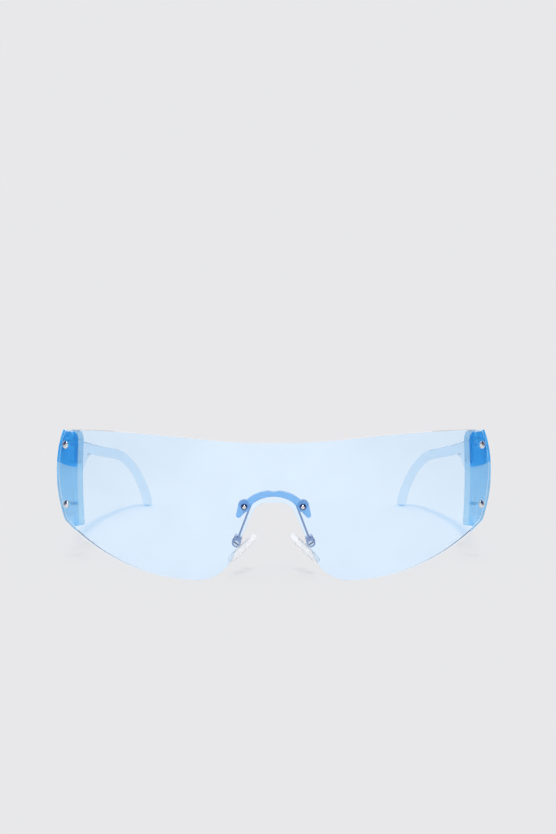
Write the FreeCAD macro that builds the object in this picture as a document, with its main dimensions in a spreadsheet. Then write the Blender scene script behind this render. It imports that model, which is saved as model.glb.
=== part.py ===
import FreeCAD, Part
import math
import os
import re
import Sketcher

# Shield sunglasses: one rolled lens, moulded end plates and temples, a bridge bar and nose pads.
# X runs to the right of someone facing the lens, Y from the lens back to the ear hooks, Z up.
# The origin is on the table the glasses stand on, under the middle of the whole object.
# Sizes are millimetres and degrees. Depths count back from the front of the lens.

SIZES = [
    ("front_setback", 77.33, "lens front ahead of the origin"),
    # Lens: a strip of a cylinder, cut to its outline and drilled
    ("lens_radius", 93.0, "outer face, about an upright axis"),
    ("lens_thickness", 2.0, "wall"),
    ("blank_spare_angle", 7.9, "half angle of the uncut strip, beyond the end screws"),
    ("blank_room", 1.0, "half width of the front outlines, beyond the uncut strip"),
    ("blank_margin", 5.0, "cutting room beyond an uncut strip"),
    ("brow_crown_height", 46.4, "top edge at its highest"),
    ("brow_dip", 1.9, "top edge over the nose, below that"),
    ("brow_crown_reach", 48.0, "from the middle to the highest point"),
    ("brow_fall_radius", 202.0, "top edge from the crown to the end"),
    ("lobe_flat", 2.0, "flat that stands on the table"),
    ("lobe_radius", 13.0, "round from the flat into the nose notch"),
    ("sweep_rise", 14.33, "lower edge at the end screws, above the table"),
    ("notch_lean", 23.5, "notch sides off upright"),
    ("notch_height", 25.6, "top of the notch"),
    ("notch_top_half", 2.07, "half width of its level top"),
    ("notch_corner_radius", 5.0, "round at the top of the notch"),
    ("end_angle", 48.1, "end screws, round the lens axis"),
    ("end_bulge", 5.8, "lens end beyond the screws, at its furthest"),
    ("end_bow", 5.2, "fall of the bowed end edge to its top corner"),
    ("end_cut_share", 0.8, "half height of the bowed cut, as a share of its radius"),
    # End plates and their screws
    ("seat_gap", 0.05, "between lens and plate or bar"),
    ("plate_thickness", 3.4, "wall"),
    ("plate_spare_angle", 10.0, "uncut plate inside the end screws, round the lens axis"),
    ("plate_inset", 0.15, "plate edge inside the lens end"),
    ("plate_inner_width", 3.6, "from the screws to the inner edge"),
    ("plate_inner_bow", 0.7, "hollow of the inner edge"),
    ("plate_top_drop", 1.75, "top edge below the lens crown"),
    ("plate_top_radius", 2.6, "inner top corner"),
    ("plate_foot_rise", 0.65, "outer end of the slanted lower edge, above the lens edge"),
    ("plate_foot_drop", 2.3, "fall of the lower edge to its inner end"),
    ("plate_foot_radius", 1.4, "inner bottom corner"),
    ("end_screw_rise", 5.32, "lower end screw above the foot of the plate"),
    ("end_screw_drop", 4.35, "upper end screw below the top of the plate"),
    ("end_shank_radius", 0.6, "end screw shank"),
    ("end_head_radius", 1.35, "end screw dome"),
    ("end_head_height", 0.9, "end screw dome"),
    ("end_screw_cover", 0.4, "plate behind the tip of an end screw"),
    ("bush_wall", 0.35, "sleeve round a shank"),
    ("bush_flange", 0.2, "collar under a screw head"),
    ("bush_flange_lip", 0.1, "collar inside the edge of its screw head"),
    ("press_gap", 0.02, "fixed pin in its hole, on the radius"),
    ("turn_gap", 0.05, "turning pin in its hole, on the radius"),
    # Temple hinge
    ("hinge_standoff", 3.3, "hinge axis behind the plate"),
    ("hinge_spare_angle", 3.8, "hinge axis beyond the end screws, round the lens axis"),
    ("hinge_drop", 1.05, "top knuckle below the top of the plate"),
    ("knuckle_radius", 2.0, "hinge knuckles"),
    ("plate_knuckle_height", 3.0, "each of the two fixed knuckles"),
    ("temple_knuckle_height", 3.6, "the turning knuckle between them"),
    ("knuckle_gap", 0.2, "above and below the turning knuckle"),
    ("knuckle_root", 1.2, "turning knuckle inside the arm"),
    ("hinge_shank_radius", 0.7, "hinge screw shank"),
    ("hinge_head_radius", 1.25, "hinge screw head"),
    ("hinge_head_height", 0.7, "hinge screw head"),
    # Temples
    ("temple_offset", 2.6, "inner face outside the hinge axis"),
    ("temple_thickness", 3.6, "wall"),
    ("temple_butt", 2.5, "front end ahead of the hinge axis"),
    ("root_taper", 1.9, "outer face drawn in at the front end, behind the end of the lens"),
    ("temple_straight", 19.7, "straight run behind the hinge axis"),
    ("temple_bend_radius", 228.0, "inward bow of the outer face"),
    ("temple_thinning", 1.0, "wall lost from the front end to the tip"),
    ("temple_drop", 0.95, "top edge at the front end, below the top of the plate"),
    ("temple_slope", 11.2, "fall of the arm"),
    ("hook_start", 82.2, "top edge starts to droop, behind the hinge axis"),
    ("hook_top_radius", 45.0, "droop of the top edge"),
    ("tip_back_height", 2.4, "lower end of the drooping top edge"),
    ("hook_under_radius", 34.5, "droop of the lower edge"),
    ("slim_depth", 3.5, "arm between hook and neck, top to bottom"),
    ("tip_flat", 0.8, "flat that stands on the table"),
    ("tip_under_radius", 1.6, "round from that flat up to the lower edge"),
    ("slim_run", 29.0, "slim stretch between hook and neck"),
    ("neck_radius", 28.0, "hollow round where the arm deepens"),
    ("belly_radius", 7.0, "full round after it"),
    ("neck_turn", 36.5, "turn of both rounds"),
    ("root_corner_radius", 3.0, "lower corner of the front end"),
    ("temple_edge_radius", 0.85, "long edges"),
    # Bridge bar and its screws
    ("bar_thickness", 2.9, "flat back behind the back of the lens, at the middle"),
    ("bar_rim_radius", 0.4, "rounded back rims"),
    ("bar_dip_rise", 3.15, "top edge in the middle, above the notch"),
    ("bar_hump_rise", 3.45, "top edge beside the dip, above the notch"),
    ("bar_hump_reach", 1.7, "from the middle to the hump"),
    ("bar_shoulder_radius", 11.0, "top edge down to the lug"),
    ("bar_under_rise", 1.8, "lower edge in the middle, above the notch"),
    ("bar_under_drop", 2.1, "rise of the lower arch"),
    ("lug_arch_gap", 3.0, "lower arch ends inside the bridge screws"),
    ("bridge_inset", 2.645, "bridge screws outside the top corner of the notch"),
    ("bridge_drop", 1.3, "bridge screws below the top of the notch"),
    ("lug_radius", 1.95, "round lug at each bridge screw"),
    ("lug_shoulder_turn", -22.0, "where the top edge meets the lug, off upright"),
    ("lug_out_turn", 92.0, "where the tail leaves the lug outside"),
    ("lug_foot_turn", 192.0, "where the tail leaves the lug inside"),
    ("lug_in_turn", 257.0, "where the lower arch meets the lug"),
    ("tail_reach", 1.75, "tip of the tail beyond the screw"),
    ("tail_drop", 2.95, "tip of the tail below the screw"),
    ("tail_radius", 0.85, "round tip"),
    ("bridge_shank_radius", 0.5, "bridge screw shank"),
    ("bridge_head_radius", 1.05, "bridge screw dome"),
    ("bridge_head_height", 0.65, "bridge screw dome"),
    ("bridge_nut_flats", 2.4, "across the flats"),
    ("bridge_nut_height", 0.9, "nut"),
    ("bridge_screw_spare", 0.3, "shank beyond the nut"),
    # Pad arms
    ("arm_seat", 0.02, "between bar, eyelet and nut"),
    ("arm_gauge", 0.6, "strip metal"),
    ("arm_width", 1.6, "strip, front to back"),
    ("arm_eyelet_radius", 1.6, "round the bridge screw"),
    ("arm_tab_half", 0.75, "half height of the tab beside the eyelet"),
    ("arm_lean", 20.5, "strip off upright"),
    ("arm_nut_gap", 0.254, "strip to the nut's corner"),
    ("arm_length", 12.62, "bridge screw down to the pad pivot"),
    ("box_step", 0.8, "pad box behind the front of the strip"),
    ("ear_gauge", 0.75, "each ear of the pad box"),
    ("ear_gap", 2.0, "between the ears"),
    ("ear_radius", 1.4, "ears"),
    ("ear_neck_half", 1.2, "half width of the ears' neck"),
    ("box_wall_start", 1.5, "pivot to the box's end wall"),
    ("box_wall_gauge", 0.7, "end wall"),
    # Pad screws, stems and nose pads
    ("pad_shank_radius", 0.5, "pad screw shank"),
    ("pad_head_radius", 0.85, "pad screw head"),
    ("pad_head_height", 0.45, "pad screw head"),
    ("pad_screw_spare", 0.2, "shank behind the rear ear"),
    ("pad_lean", 44.6, "pads off level, seen from the front"),
    ("tongue_side_gap", 0.05, "tongue to ear"),
    ("tongue_radius", 1.1, "round the pivot"),
    ("pad_gap", 1.9, "pivot to the pad's back face"),
    ("pad_setback", 0.75, "pad's middle behind the pivot's"),
    ("pad_half_straight", 4.5, "from the middle to the end rounds"),
    ("pad_half_neck", 2.6, "half width where the end rounds start"),
    ("pad_side_bulge", 0.8, "sides beyond that"),
    ("pad_end_ease", 0.1, "end rounds wider than half that width"),
    ("pad_thickness", 2.2, "pad"),
    ("pad_rim_radius", 0.9, "rounded rims"),
    ("core_half_length", 3.4, "stem plate"),
    ("core_half_width", 1.7, "stem plate"),
    ("core_thickness", 0.9, "stem plate"),
    ("core_gap", 0.05, "stem plate in its recess"),
]

doc = FreeCAD.newDocument("shield_sunglasses")
sheet = doc.addObject("Spreadsheet::Sheet", "Sizes")
for row, (alias, size, note) in enumerate(SIZES, start=1):
    sheet.set(f"A{row}", alias)
    sheet.set(f"B{row}", str(size))
    sheet.setAlias(f"B{row}", alias)
    sheet.set(f"C{row}", note)
doc.recompute()


def tied(expression):
    """The expression with every size read from the sheet."""
    return re.sub(r"[a-z]+(?:_[a-z]+)+", r"Sizes.\g<0>", expression)


def value(expression):
    """The expression's number as the sheet stands."""
    return float(sheet.evalExpression(expression))


def new_body(label):
    body = doc.addObject("PartDesign::Body", label)
    body.Label = label
    body.AllowCompound = True
    return body


def sketch_on(body, name, role, base=("0", "0", "0"), turn_axis=(0, 0, 1), turn="0"):
    """A sketch on one of the body's own planes, moved by base and then turned about turn_axis."""
    sketch = body.newObject("Sketcher::SketchObject", name)
    planes = {feature.Role: feature for feature in body.Origin.OriginFeatures}
    sketch.AttachmentSupport = [(planes[role], "")]
    sketch.MapMode = "FlatFace"
    place = FreeCAD.Vector(*[value(part) for part in base])
    # The quarter turn keeps the axis in the placement until the expression sets the angle
    sketch.AttachmentOffset = FreeCAD.Placement(place, FreeCAD.Rotation(FreeCAD.Vector(*turn_axis), 90))
    for letter, part in zip("xyz", base):
        sketch.setExpression(f"AttachmentOffset.Base.{letter}", tied(part))
    sketch.setExpression("AttachmentOffset.Rotation.Angle", tied(turn))
    return sketch


def fix(sketch, kind, geometry, point, expression):
    """One dimension of a sketch, bound to the sheet."""
    number = value(expression)
    if kind == "Radius":
        index = sketch.addConstraint(Sketcher.Constraint(kind, geometry, number))
    else:
        index = sketch.addConstraint(Sketcher.Constraint(kind, geometry, point, number))
    sketch.setExpression(f"Constraints[{index}]", tied(expression))


def arc_between(start, end, radius, turn):
    """The short arc from start to end: turn 1 bends to the left, -1 to the right."""
    chord = end - start
    half = chord.Length / 2
    rise = math.sqrt(max(radius * radius - half * half, 0.0))
    left = FreeCAD.Vector(-chord.y, chord.x, 0).normalize()
    centre = (start + end) * 0.5 + left * rise * turn
    first, last = (start, end) if turn > 0 else (end, start)
    angles = [math.atan2(point.y - centre.y, point.x - centre.x) for point in (first, last)]
    return Part.ArcOfCircle(Part.Circle(centre, FreeCAD.Vector(0, 0, 1), radius), angles[0], angles[1])


def outline(sketch, steps):
    """A closed outline. A step is (x, y) for a line to that point, or (x, y, radius, turn) for an arc."""
    points = [FreeCAD.Vector(value(step[0]), value(step[1]), 0) for step in steps]
    ends = []
    for number, step in enumerate(steps):
        start, end = points[number - 1], points[number]
        if len(step) == 2:
            geometry = sketch.addGeometry(Part.LineSegment(start, end), False)
            ends.append((geometry, 1, 2))
        else:
            arc = arc_between(start, end, value(step[2]), step[3])
            geometry = sketch.addGeometry(arc, False)
            ends.append((geometry, 1, 2) if step[3] > 0 else (geometry, 2, 1))
    for number, step in enumerate(steps):
        geometry, first, last = ends[number]
        following = ends[(number + 1) % len(ends)]
        sketch.addConstraint(Sketcher.Constraint("Coincident", geometry, last, following[0], following[1]))
        fix(sketch, "DistanceX", geometry, last, step[0])
        fix(sketch, "DistanceY", geometry, last, step[1])
        if len(step) == 4:
            fix(sketch, "Radius", geometry, 0, step[2])


def circle(sketch, x, y, radius):
    centre = FreeCAD.Vector(value(x), value(y), 0)
    geometry = sketch.addGeometry(Part.Circle(centre, FreeCAD.Vector(0, 0, 1), value(radius)), False)
    fix(sketch, "DistanceX", geometry, 3, x)
    fix(sketch, "DistanceY", geometry, 3, y)
    fix(sketch, "Radius", geometry, 0, radius)


def box_outline(sketch, low_x, low_y, high_x, high_y):
    outline(sketch, [(low_x, low_y), (high_x, low_y), (high_x, high_y), (low_x, high_y)])


def pad(body, sketch, length, towards_back=False):
    feature = body.newObject("PartDesign::Pad", sketch.Name + "_pad")
    feature.Profile = sketch
    feature.setExpression("Length", tied(length))
    feature.Reversed = towards_back
    doc.recompute()
    return feature


def cut_through(body, sketch):
    """Cuts the sketch away on both sides of its plane, and makes sure that it cut something."""
    before = body.Shape.Volume
    feature = body.newObject("PartDesign::Pocket", sketch.Name + "_cut")
    feature.Profile = sketch
    feature.SideType = "Symmetric"
    feature.Type = "ThroughAll"
    doc.recompute()
    if not body.Shape.Volume < before:
        raise ValueError(sketch.Name + " cut nothing")
    return feature


def cut_to_depth(body, sketch, depth):
    """Cuts the sketch away to a depth below its plane, and makes sure that it cut something."""
    before = body.Shape.Volume
    feature = body.newObject("PartDesign::Pocket", sketch.Name + "_cut")
    feature.Profile = sketch
    feature.setExpression("Length", tied(depth))
    doc.recompute()
    if not body.Shape.Volume < before:
        raise ValueError(sketch.Name + " cut nothing")
    return feature


def revolve(body, sketch, axis):
    feature = body.newObject("PartDesign::Revolution", sketch.Name + "_turned")
    feature.Profile = sketch
    feature.ReferenceAxis = (sketch, [axis])
    feature.Angle = 360
    doc.recompute()
    return feature


def round_edges(body, radius, chosen):
    """Rounds the edges of the body's last feature that have a chosen face on one side only."""
    base = body.Tip
    faces = [face for face in base.Shape.Faces if chosen(face)]
    names = []
    for number, edge in enumerate(base.Shape.Edges, start=1):
        if sum(any(edge.isSame(other) for other in face.Edges) for face in faces) == 1:
            names.append(f"Edge{number}")
    feature = body.newObject("PartDesign::Fillet", body.Name + "_rounds")
    feature.Base = (base, names)
    feature.setExpression("Radius", tied(radius))
    doc.recompute()
    return feature


def mirrored(right_body, label):
    """The left-hand copy of a right-hand piece."""
    copy = doc.addObject("Part::Mirroring", label)
    copy.Label = label
    copy.Source = right_body
    copy.Normal = FreeCAD.Vector(1, 0, 0)
    copy.Base = FreeCAD.Vector(0, 0, 0)
    return copy


# Places that several pieces share
AXIS_Y = "(lens_radius - front_setback)"
BLANK_ANGLE = "(end_angle + blank_spare_angle)"
BLANK_HEIGHT = "(brow_crown_height + blank_margin)"
BLANK_REACH = f"(lens_radius * sin({BLANK_ANGLE}) + blank_room)"
LENS_BACK = "(lens_radius - lens_thickness)"
PLATE_FRONT = f"({LENS_BACK} - seat_gap)"
PLATE_BACK = f"({PLATE_FRONT} - plate_thickness)"
PLATE_MIDDLE = f"({PLATE_FRONT} - plate_thickness / 2)"
PLATE_TOP = "(brow_crown_height - plate_top_drop)"
PLATE_FOOT = "(sweep_rise + plate_foot_rise)"
HINGE_ANGLE = "(end_angle + hinge_spare_angle)"
HINGE_X = f"(({PLATE_BACK} - hinge_standoff) * sin({HINGE_ANGLE}))"
HINGE_Y = f"({AXIS_Y} - ({PLATE_BACK} - hinge_standoff) * cos({HINGE_ANGLE}))"
END_HEIGHTS = {"low": f"({PLATE_FOOT} + end_screw_rise)", "high": f"({PLATE_TOP} - end_screw_drop)"}
END_BUSH_RADIUS = "(end_shank_radius + turn_gap + bush_wall)"
BRIDGE_BUSH_RADIUS = "(bridge_shank_radius + turn_gap + bush_wall)"
NOTCH_LOW_HEIGHT = "(lobe_radius * (1 - sin(notch_lean)))"
NOTCH_HIGH_HEIGHT = "(notch_height - notch_corner_radius * (1 - sin(notch_lean)))"
NOTCH_HIGH_X = "(notch_top_half + notch_corner_radius * cos(notch_lean))"
NOTCH_LOW_X = f"({NOTCH_HIGH_X} + ({NOTCH_HIGH_HEIGHT} - {NOTCH_LOW_HEIGHT}) * tan(notch_lean))"
BRIDGE_X = f"({NOTCH_HIGH_X} + bridge_inset)"
BRIDGE_HEIGHT = "(notch_height - bridge_drop)"
SIDES = {"left": "-1", "right": "1"}


def sector(sketch, outer, inner, start, end):
    """A ring segment in plan, round the lens axis, between two angles from straight ahead."""
    outline(sketch, [
        (f"{outer} * sin({start})", f"{AXIS_Y} - {outer} * cos({start})"),
        (f"{outer} * sin({end})", f"{AXIS_Y} - {outer} * cos({end})", outer, 1),
        (f"{inner} * sin({end})", f"{AXIS_Y} - {inner} * cos({end})"),
        (f"{inner} * sin({start})", f"{AXIS_Y} - {inner} * cos({start})", inner, -1),
    ])


def end_sketch(body, name, side):
    """A sketch square to the line of an end screw: x runs round the lens from the screws, y is height."""
    return sketch_on(body, name, "XZ_Plane", ("0", "0", f"-{AXIS_Y}"), (0, 1, 0), f"{side} * end_angle")


def front_sketch(body, name, depth, x="0", height="0", turn="0"):
    """A sketch seen from the front, at a depth behind the lens front."""
    return sketch_on(body, name, "XZ_Plane", (x, height, f"front_setback - ({depth})"), (0, 0, 1), turn)


# Lens: rolled strip, cut to its front outline, bowed at both ends, drilled for its screws
lens = new_body("shield_lens")
lens_plan = sketch_on(lens, "lens_plan", "XY_Plane")
sector(lens_plan, "lens_radius", LENS_BACK, f"-{BLANK_ANGLE}", BLANK_ANGLE)
pad(lens, lens_plan, BLANK_HEIGHT)

BROW_RADIUS = "(((brow_crown_reach / 2) ^ 2 + (brow_dip / 2) ^ 2) / brow_dip)"
BROW_MID_HEIGHT = "(brow_crown_height - brow_dip / 2)"
BROW_RUN = f"({BLANK_REACH} - brow_crown_reach)"
BROW_END_HEIGHT = f"(brow_crown_height - brow_fall_radius + sqrt(brow_fall_radius ^ 2 - {BROW_RUN} ^ 2))"
LOBE_INNER_X = f"({NOTCH_LOW_X} + lobe_radius * cos(notch_lean))"
LOBE_OUTER_X = f"({LOBE_INNER_X} + lobe_flat)"
SWEEP_SPAN = f"(lens_radius * sin(end_angle) - {LOBE_OUTER_X})"
SWEEP_RADIUS = f"(({SWEEP_SPAN} ^ 2 + sweep_rise ^ 2) / (2 * sweep_rise))"
SWEEP_END_HEIGHT = f"({SWEEP_RADIUS} - sqrt({SWEEP_RADIUS} ^ 2 - ({BLANK_REACH} - {LOBE_OUTER_X}) ^ 2))"
lens_front = front_sketch(lens, "lens_front", "0")
box_outline(lens_front, f"-{BLANK_REACH} - blank_margin", "-blank_margin",
            f"{BLANK_REACH} + blank_margin", f"{BLANK_HEIGHT} + blank_margin")
outline(lens_front, [
    (LOBE_OUTER_X, "0"),
    (BLANK_REACH, SWEEP_END_HEIGHT, SWEEP_RADIUS, 1),
    (BLANK_REACH, BROW_END_HEIGHT),
    ("brow_crown_reach", "brow_crown_height", "brow_fall_radius", 1),
    ("brow_crown_reach / 2", BROW_MID_HEIGHT, BROW_RADIUS, 1),
    ("-brow_crown_reach / 2", BROW_MID_HEIGHT, BROW_RADIUS, -1),
    ("-brow_crown_reach", "brow_crown_height", BROW_RADIUS, 1),
    (f"-{BLANK_REACH}", BROW_END_HEIGHT, "brow_fall_radius", 1),
    (f"-{BLANK_REACH}", SWEEP_END_HEIGHT),
    (f"-{LOBE_OUTER_X}", "0", SWEEP_RADIUS, 1),
    (f"-{LOBE_INNER_X}", "0"),
    (f"-{NOTCH_LOW_X}", NOTCH_LOW_HEIGHT, "lobe_radius", 1),
    (f"-{NOTCH_HIGH_X}", NOTCH_HIGH_HEIGHT),
    ("-notch_top_half", "notch_height", "notch_corner_radius", -1),
    ("notch_top_half", "notch_height"),
    (NOTCH_HIGH_X, NOTCH_HIGH_HEIGHT, "notch_corner_radius", -1),
    (NOTCH_LOW_X, NOTCH_LOW_HEIGHT),
    (LOBE_INNER_X, "0", "lobe_radius", 1),
])
cut_through(lens, lens_front)

END_MIDDLE = "((brow_crown_height + sweep_rise) / 2)"
END_RISE = "((brow_crown_height - sweep_rise) / 2)"
END_RADIUS = f"(({END_RISE} ^ 2 + end_bow ^ 2) / (2 * end_bow))"
END_TOP = f"({END_MIDDLE} + {END_RADIUS} * end_cut_share)"
END_FOOT = f"({END_MIDDLE} - {END_RADIUS} * end_cut_share)"


def end_edge(inset, height):
    """How far the bowed end edge lies from the end screws at a height."""
    return f"(end_bulge - {END_RADIUS} + sqrt(({END_RADIUS} - {inset}) ^ 2 - ({height} - {END_MIDDLE}) ^ 2))"


END_ROOM = "(end_bulge + blank_margin * 2)"
for side_name, side in SIDES.items():
    turn = 1 if side_name == "right" else -1
    lens_end = end_sketch(lens, f"lens_{side_name}_end", side)
    outline(lens_end, [
        (f"{side} * {end_edge('0', END_FOOT)}", END_FOOT),
        (f"{side} * {end_edge('0', END_TOP)}", END_TOP, END_RADIUS, turn),
        (f"{side} * {END_ROOM}", END_TOP),
        (f"{side} * {END_ROOM}", END_FOOT),
    ])
    cut_through(lens, lens_end)
    lens_holes = end_sketch(lens, f"lens_{side_name}_holes", side)
    for height in END_HEIGHTS.values():
        circle(lens_holes, "0", height, f"{END_BUSH_RADIUS} + press_gap")
    cut_through(lens, lens_holes)
lens_bridge_holes = front_sketch(lens, "lens_bridge_holes", "0")
for side in SIDES.values():
    circle(lens_bridge_holes, f"{side} * {BRIDGE_X}", BRIDGE_HEIGHT, f"{BRIDGE_BUSH_RADIUS} + press_gap")
cut_through(lens, lens_bridge_holes)

# End plate: moulded plate that follows the back of the lens, with two hinge knuckles behind it
plate = new_body("right_end_plate")
plate_plan = sketch_on(plate, "plate_plan", "XY_Plane")
sector(plate_plan, PLATE_FRONT, PLATE_BACK, "(end_angle - plate_spare_angle)", BLANK_ANGLE)
pad(plate, plate_plan, BLANK_HEIGHT)
plate_face = end_sketch(plate, "plate_face", "1")
FOOT_RUN = f"(plate_inner_width + {end_edge('plate_inset', PLATE_FOOT)})"
FOOT_LEAN = f"atan(plate_foot_drop / {FOOT_RUN})"
FOOT_TURN = f"((90 deg - {FOOT_LEAN}) / 2)"
FOOT_CUT = f"(plate_foot_radius * tan({FOOT_TURN}))"
PLATE_CORNER = f"({PLATE_FOOT} - plate_foot_drop)"
INNER_BOW_HALF = f"(({PLATE_TOP} - plate_top_radius - {PLATE_CORNER} - {FOOT_CUT}) / 2)"
INNER_BOW_RADIUS = f"(({INNER_BOW_HALF} ^ 2 + plate_inner_bow ^ 2) / (2 * plate_inner_bow))"
box_outline(plate_face, f"-{BLANK_REACH} / 2", "-blank_margin",
            f"{BLANK_REACH} / 2", f"{BLANK_HEIGHT} + blank_margin")
outline(plate_face, [
    (end_edge("plate_inset", PLATE_FOOT), PLATE_FOOT),
    (end_edge("plate_inset", PLATE_TOP), PLATE_TOP, f"{END_RADIUS} - plate_inset", 1),
    ("-plate_inner_width + plate_top_radius", PLATE_TOP),
    ("-plate_inner_width", f"{PLATE_TOP} - plate_top_radius", "plate_top_radius", 1),
    ("-plate_inner_width", f"{PLATE_CORNER} + {FOOT_CUT}", INNER_BOW_RADIUS, -1),
    (f"-plate_inner_width + {FOOT_CUT} * cos({FOOT_LEAN})",
     f"{PLATE_CORNER} + {FOOT_CUT} * sin({FOOT_LEAN})", "plate_foot_radius", 1),
])
cut_through(plate, plate_face)


def plate_depth_at(x):
    """The middle of the plate's wall, in plan."""
    return f"({AXIS_Y} - sqrt({PLATE_MIDDLE} ^ 2 - ({x}) ^ 2))"


HINGE_TOP = f"({PLATE_TOP} - hinge_drop)"
HIGH_KNUCKLE_FOOT = f"({HINGE_TOP} - plate_knuckle_height)"
TEMPLE_KNUCKLE_FOOT = f"({HIGH_KNUCKLE_FOOT} - knuckle_gap - temple_knuckle_height)"
HINGE_BASE = f"({TEMPLE_KNUCKLE_FOOT} - knuckle_gap - plate_knuckle_height)"
for level, foot in {"low": HINGE_BASE, "high": HIGH_KNUCKLE_FOOT}.items():
    plate_knuckle = sketch_on(plate, f"plate_{level}_knuckle", "XY_Plane", ("0", "0", foot))
    inner_x = f"({HINGE_X} - knuckle_radius)"
    outer_x = f"({HINGE_X} + knuckle_radius)"
    outline(plate_knuckle, [
        (inner_x, plate_depth_at(inner_x)),
        (outer_x, plate_depth_at(outer_x)),
        (outer_x, HINGE_Y),
        (HINGE_X, f"{HINGE_Y} + knuckle_radius", "knuckle_radius", 1),
        (inner_x, HINGE_Y, "knuckle_radius", 1),
    ])
    pad(plate, plate_knuckle, "plate_knuckle_height")
plate_hinge_hole = sketch_on(plate, "plate_hinge_hole", "XY_Plane")
circle(plate_hinge_hole, HINGE_X, HINGE_Y, "hinge_shank_radius + press_gap")
cut_through(plate, plate_hinge_hole)
plate_screw_holes = end_sketch(plate, "plate_screw_holes", "1")
for height in END_HEIGHTS.values():
    circle(plate_screw_holes, "0", height, "end_shank_radius + press_gap")
cut_through(plate, plate_screw_holes)


def radial_sketch(body, name, height):
    """A level sketch through an end screw: x runs out from the lens axis along the screw."""
    return sketch_on(body, name, "XY_Plane", ("0", AXIS_Y, height), (0, 0, 1), "end_angle - 90")


# End screws: dome heads outside the lens, threaded into the plate, in clear sleeves
end_screws = new_body("right_end_screws")
end_bushes = new_body("right_end_bushes")
END_SEAT = "(lens_radius + bush_flange)"
for level, height in END_HEIGHTS.items():
    screw = radial_sketch(end_screws, f"end_screw_{level}", height)
    outline(screw, [
        (f"{PLATE_BACK} + end_screw_cover", "0"),
        (f"{PLATE_BACK} + end_screw_cover", "end_shank_radius"),
        (END_SEAT, "end_shank_radius"),
        (END_SEAT, "end_head_radius"),
        (f"{END_SEAT} + end_head_height", "0",
         "(end_head_radius ^ 2 + end_head_height ^ 2) / (2 * end_head_height)", -1),
    ])
    revolve(end_screws, screw, "H_Axis")
    bush = radial_sketch(end_bushes, f"end_bush_{level}", height)
    outline(bush, [
        (LENS_BACK, "end_shank_radius + turn_gap"),
        (LENS_BACK, END_BUSH_RADIUS),
        ("lens_radius", END_BUSH_RADIUS),
        ("lens_radius", "end_head_radius - bush_flange_lip"),
        (END_SEAT, "end_head_radius - bush_flange_lip"),
        (END_SEAT, "end_shank_radius + turn_gap"),
    ])
    revolve(end_bushes, bush, "H_Axis")

# Hinge screw: upright, head on the top knuckle
hinge_screw = new_body("right_hinge_screw")
hinge_profile = sketch_on(hinge_screw, "hinge_profile", "XZ_Plane", (HINGE_X, "0", f"-{HINGE_Y}"))
outline(hinge_profile, [
    ("0", HINGE_BASE),
    ("hinge_shank_radius", HINGE_BASE),
    ("hinge_shank_radius", HINGE_TOP),
    ("hinge_head_radius", HINGE_TOP),
    ("hinge_head_radius", f"{HINGE_TOP} + hinge_head_height"),
    ("0", f"{HINGE_TOP} + hinge_head_height"),
])
revolve(hinge_screw, hinge_profile, "V_Axis")

# Temple: bowed band in plan, cut to its side outline, with the turning knuckle at its front
temple = new_body("right_temple")
INNER_X = f"({HINGE_X} + temple_offset)"
OUTER_X = f"({INNER_X} + temple_thickness)"
TEMPLE_TOP = f"({PLATE_TOP} - temple_drop)"
HOOK_X = "(hook_start - hook_top_radius * sin(temple_slope))"
HOOK_TOP_HEIGHT = f"({TEMPLE_TOP} - (hook_start + temple_butt) * tan(temple_slope))"
HOOK_CENTRE_HEIGHT = f"({HOOK_TOP_HEIGHT} - hook_top_radius * cos(temple_slope))"
HOOK_COS = f"((tip_back_height - {HOOK_CENTRE_HEIGHT}) / hook_top_radius)"
HOOK_SIN = f"(sqrt(1 - {HOOK_COS} ^ 2))"
TIP_BACK = f"({HOOK_X} + hook_top_radius * {HOOK_SIN})"
TIP_RADIUS = f"(tip_back_height / (1 + {HOOK_COS}))"
FLAT_BACK = f"({TIP_BACK} - {TIP_RADIUS} * {HOOK_SIN})"
FLAT_FRONT = f"({FLAT_BACK} - tip_flat)"
# The hollow of the hook touches the arm's lower edge and the tip's round. Seen along the arm's slope,
# "along" runs back and "above" is square to it.
EDGE_ABOVE = f"({TEMPLE_TOP} * cos(temple_slope) - temple_butt * sin(temple_slope) - slim_depth)"
TIP_ALONG = f"({FLAT_FRONT} * cos(temple_slope) - tip_under_radius * sin(temple_slope))"
TIP_ABOVE = f"({FLAT_FRONT} * sin(temple_slope) + tip_under_radius * cos(temple_slope))"
HOLLOW_ABOVE = f"({EDGE_ABOVE} - hook_under_radius)"
HOLLOW_SPAN = "(hook_under_radius + tip_under_radius)"
HOLLOW_ALONG = f"({TIP_ALONG} - sqrt({HOLLOW_SPAN} ^ 2 - ({TIP_ABOVE} - {HOLLOW_ABOVE}) ^ 2))"
HOLLOW_X = f"({HOLLOW_ALONG} * cos(temple_slope) + {HOLLOW_ABOVE} * sin(temple_slope))"
HOLLOW_HEIGHT = f"({HOLLOW_ABOVE} * cos(temple_slope) - {HOLLOW_ALONG} * sin(temple_slope))"
UNDER_TIP = f"({FLAT_FRONT} + ({HOLLOW_X} - {FLAT_FRONT}) * tip_under_radius / {HOLLOW_SPAN})"
UNDER_TIP_HEIGHT = f"(tip_under_radius * (1 + ({HOLLOW_HEIGHT} - tip_under_radius) / {HOLLOW_SPAN}))"
UNDER = f"({HOLLOW_X} + hook_under_radius * sin(temple_slope))"
UNDER_HEIGHT = f"({HOLLOW_HEIGHT} + hook_under_radius * cos(temple_slope))"
NECK = f"({UNDER} - slim_run * cos(temple_slope))"
NECK_HEIGHT = f"({UNDER_HEIGHT} + slim_run * sin(temple_slope))"


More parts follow.
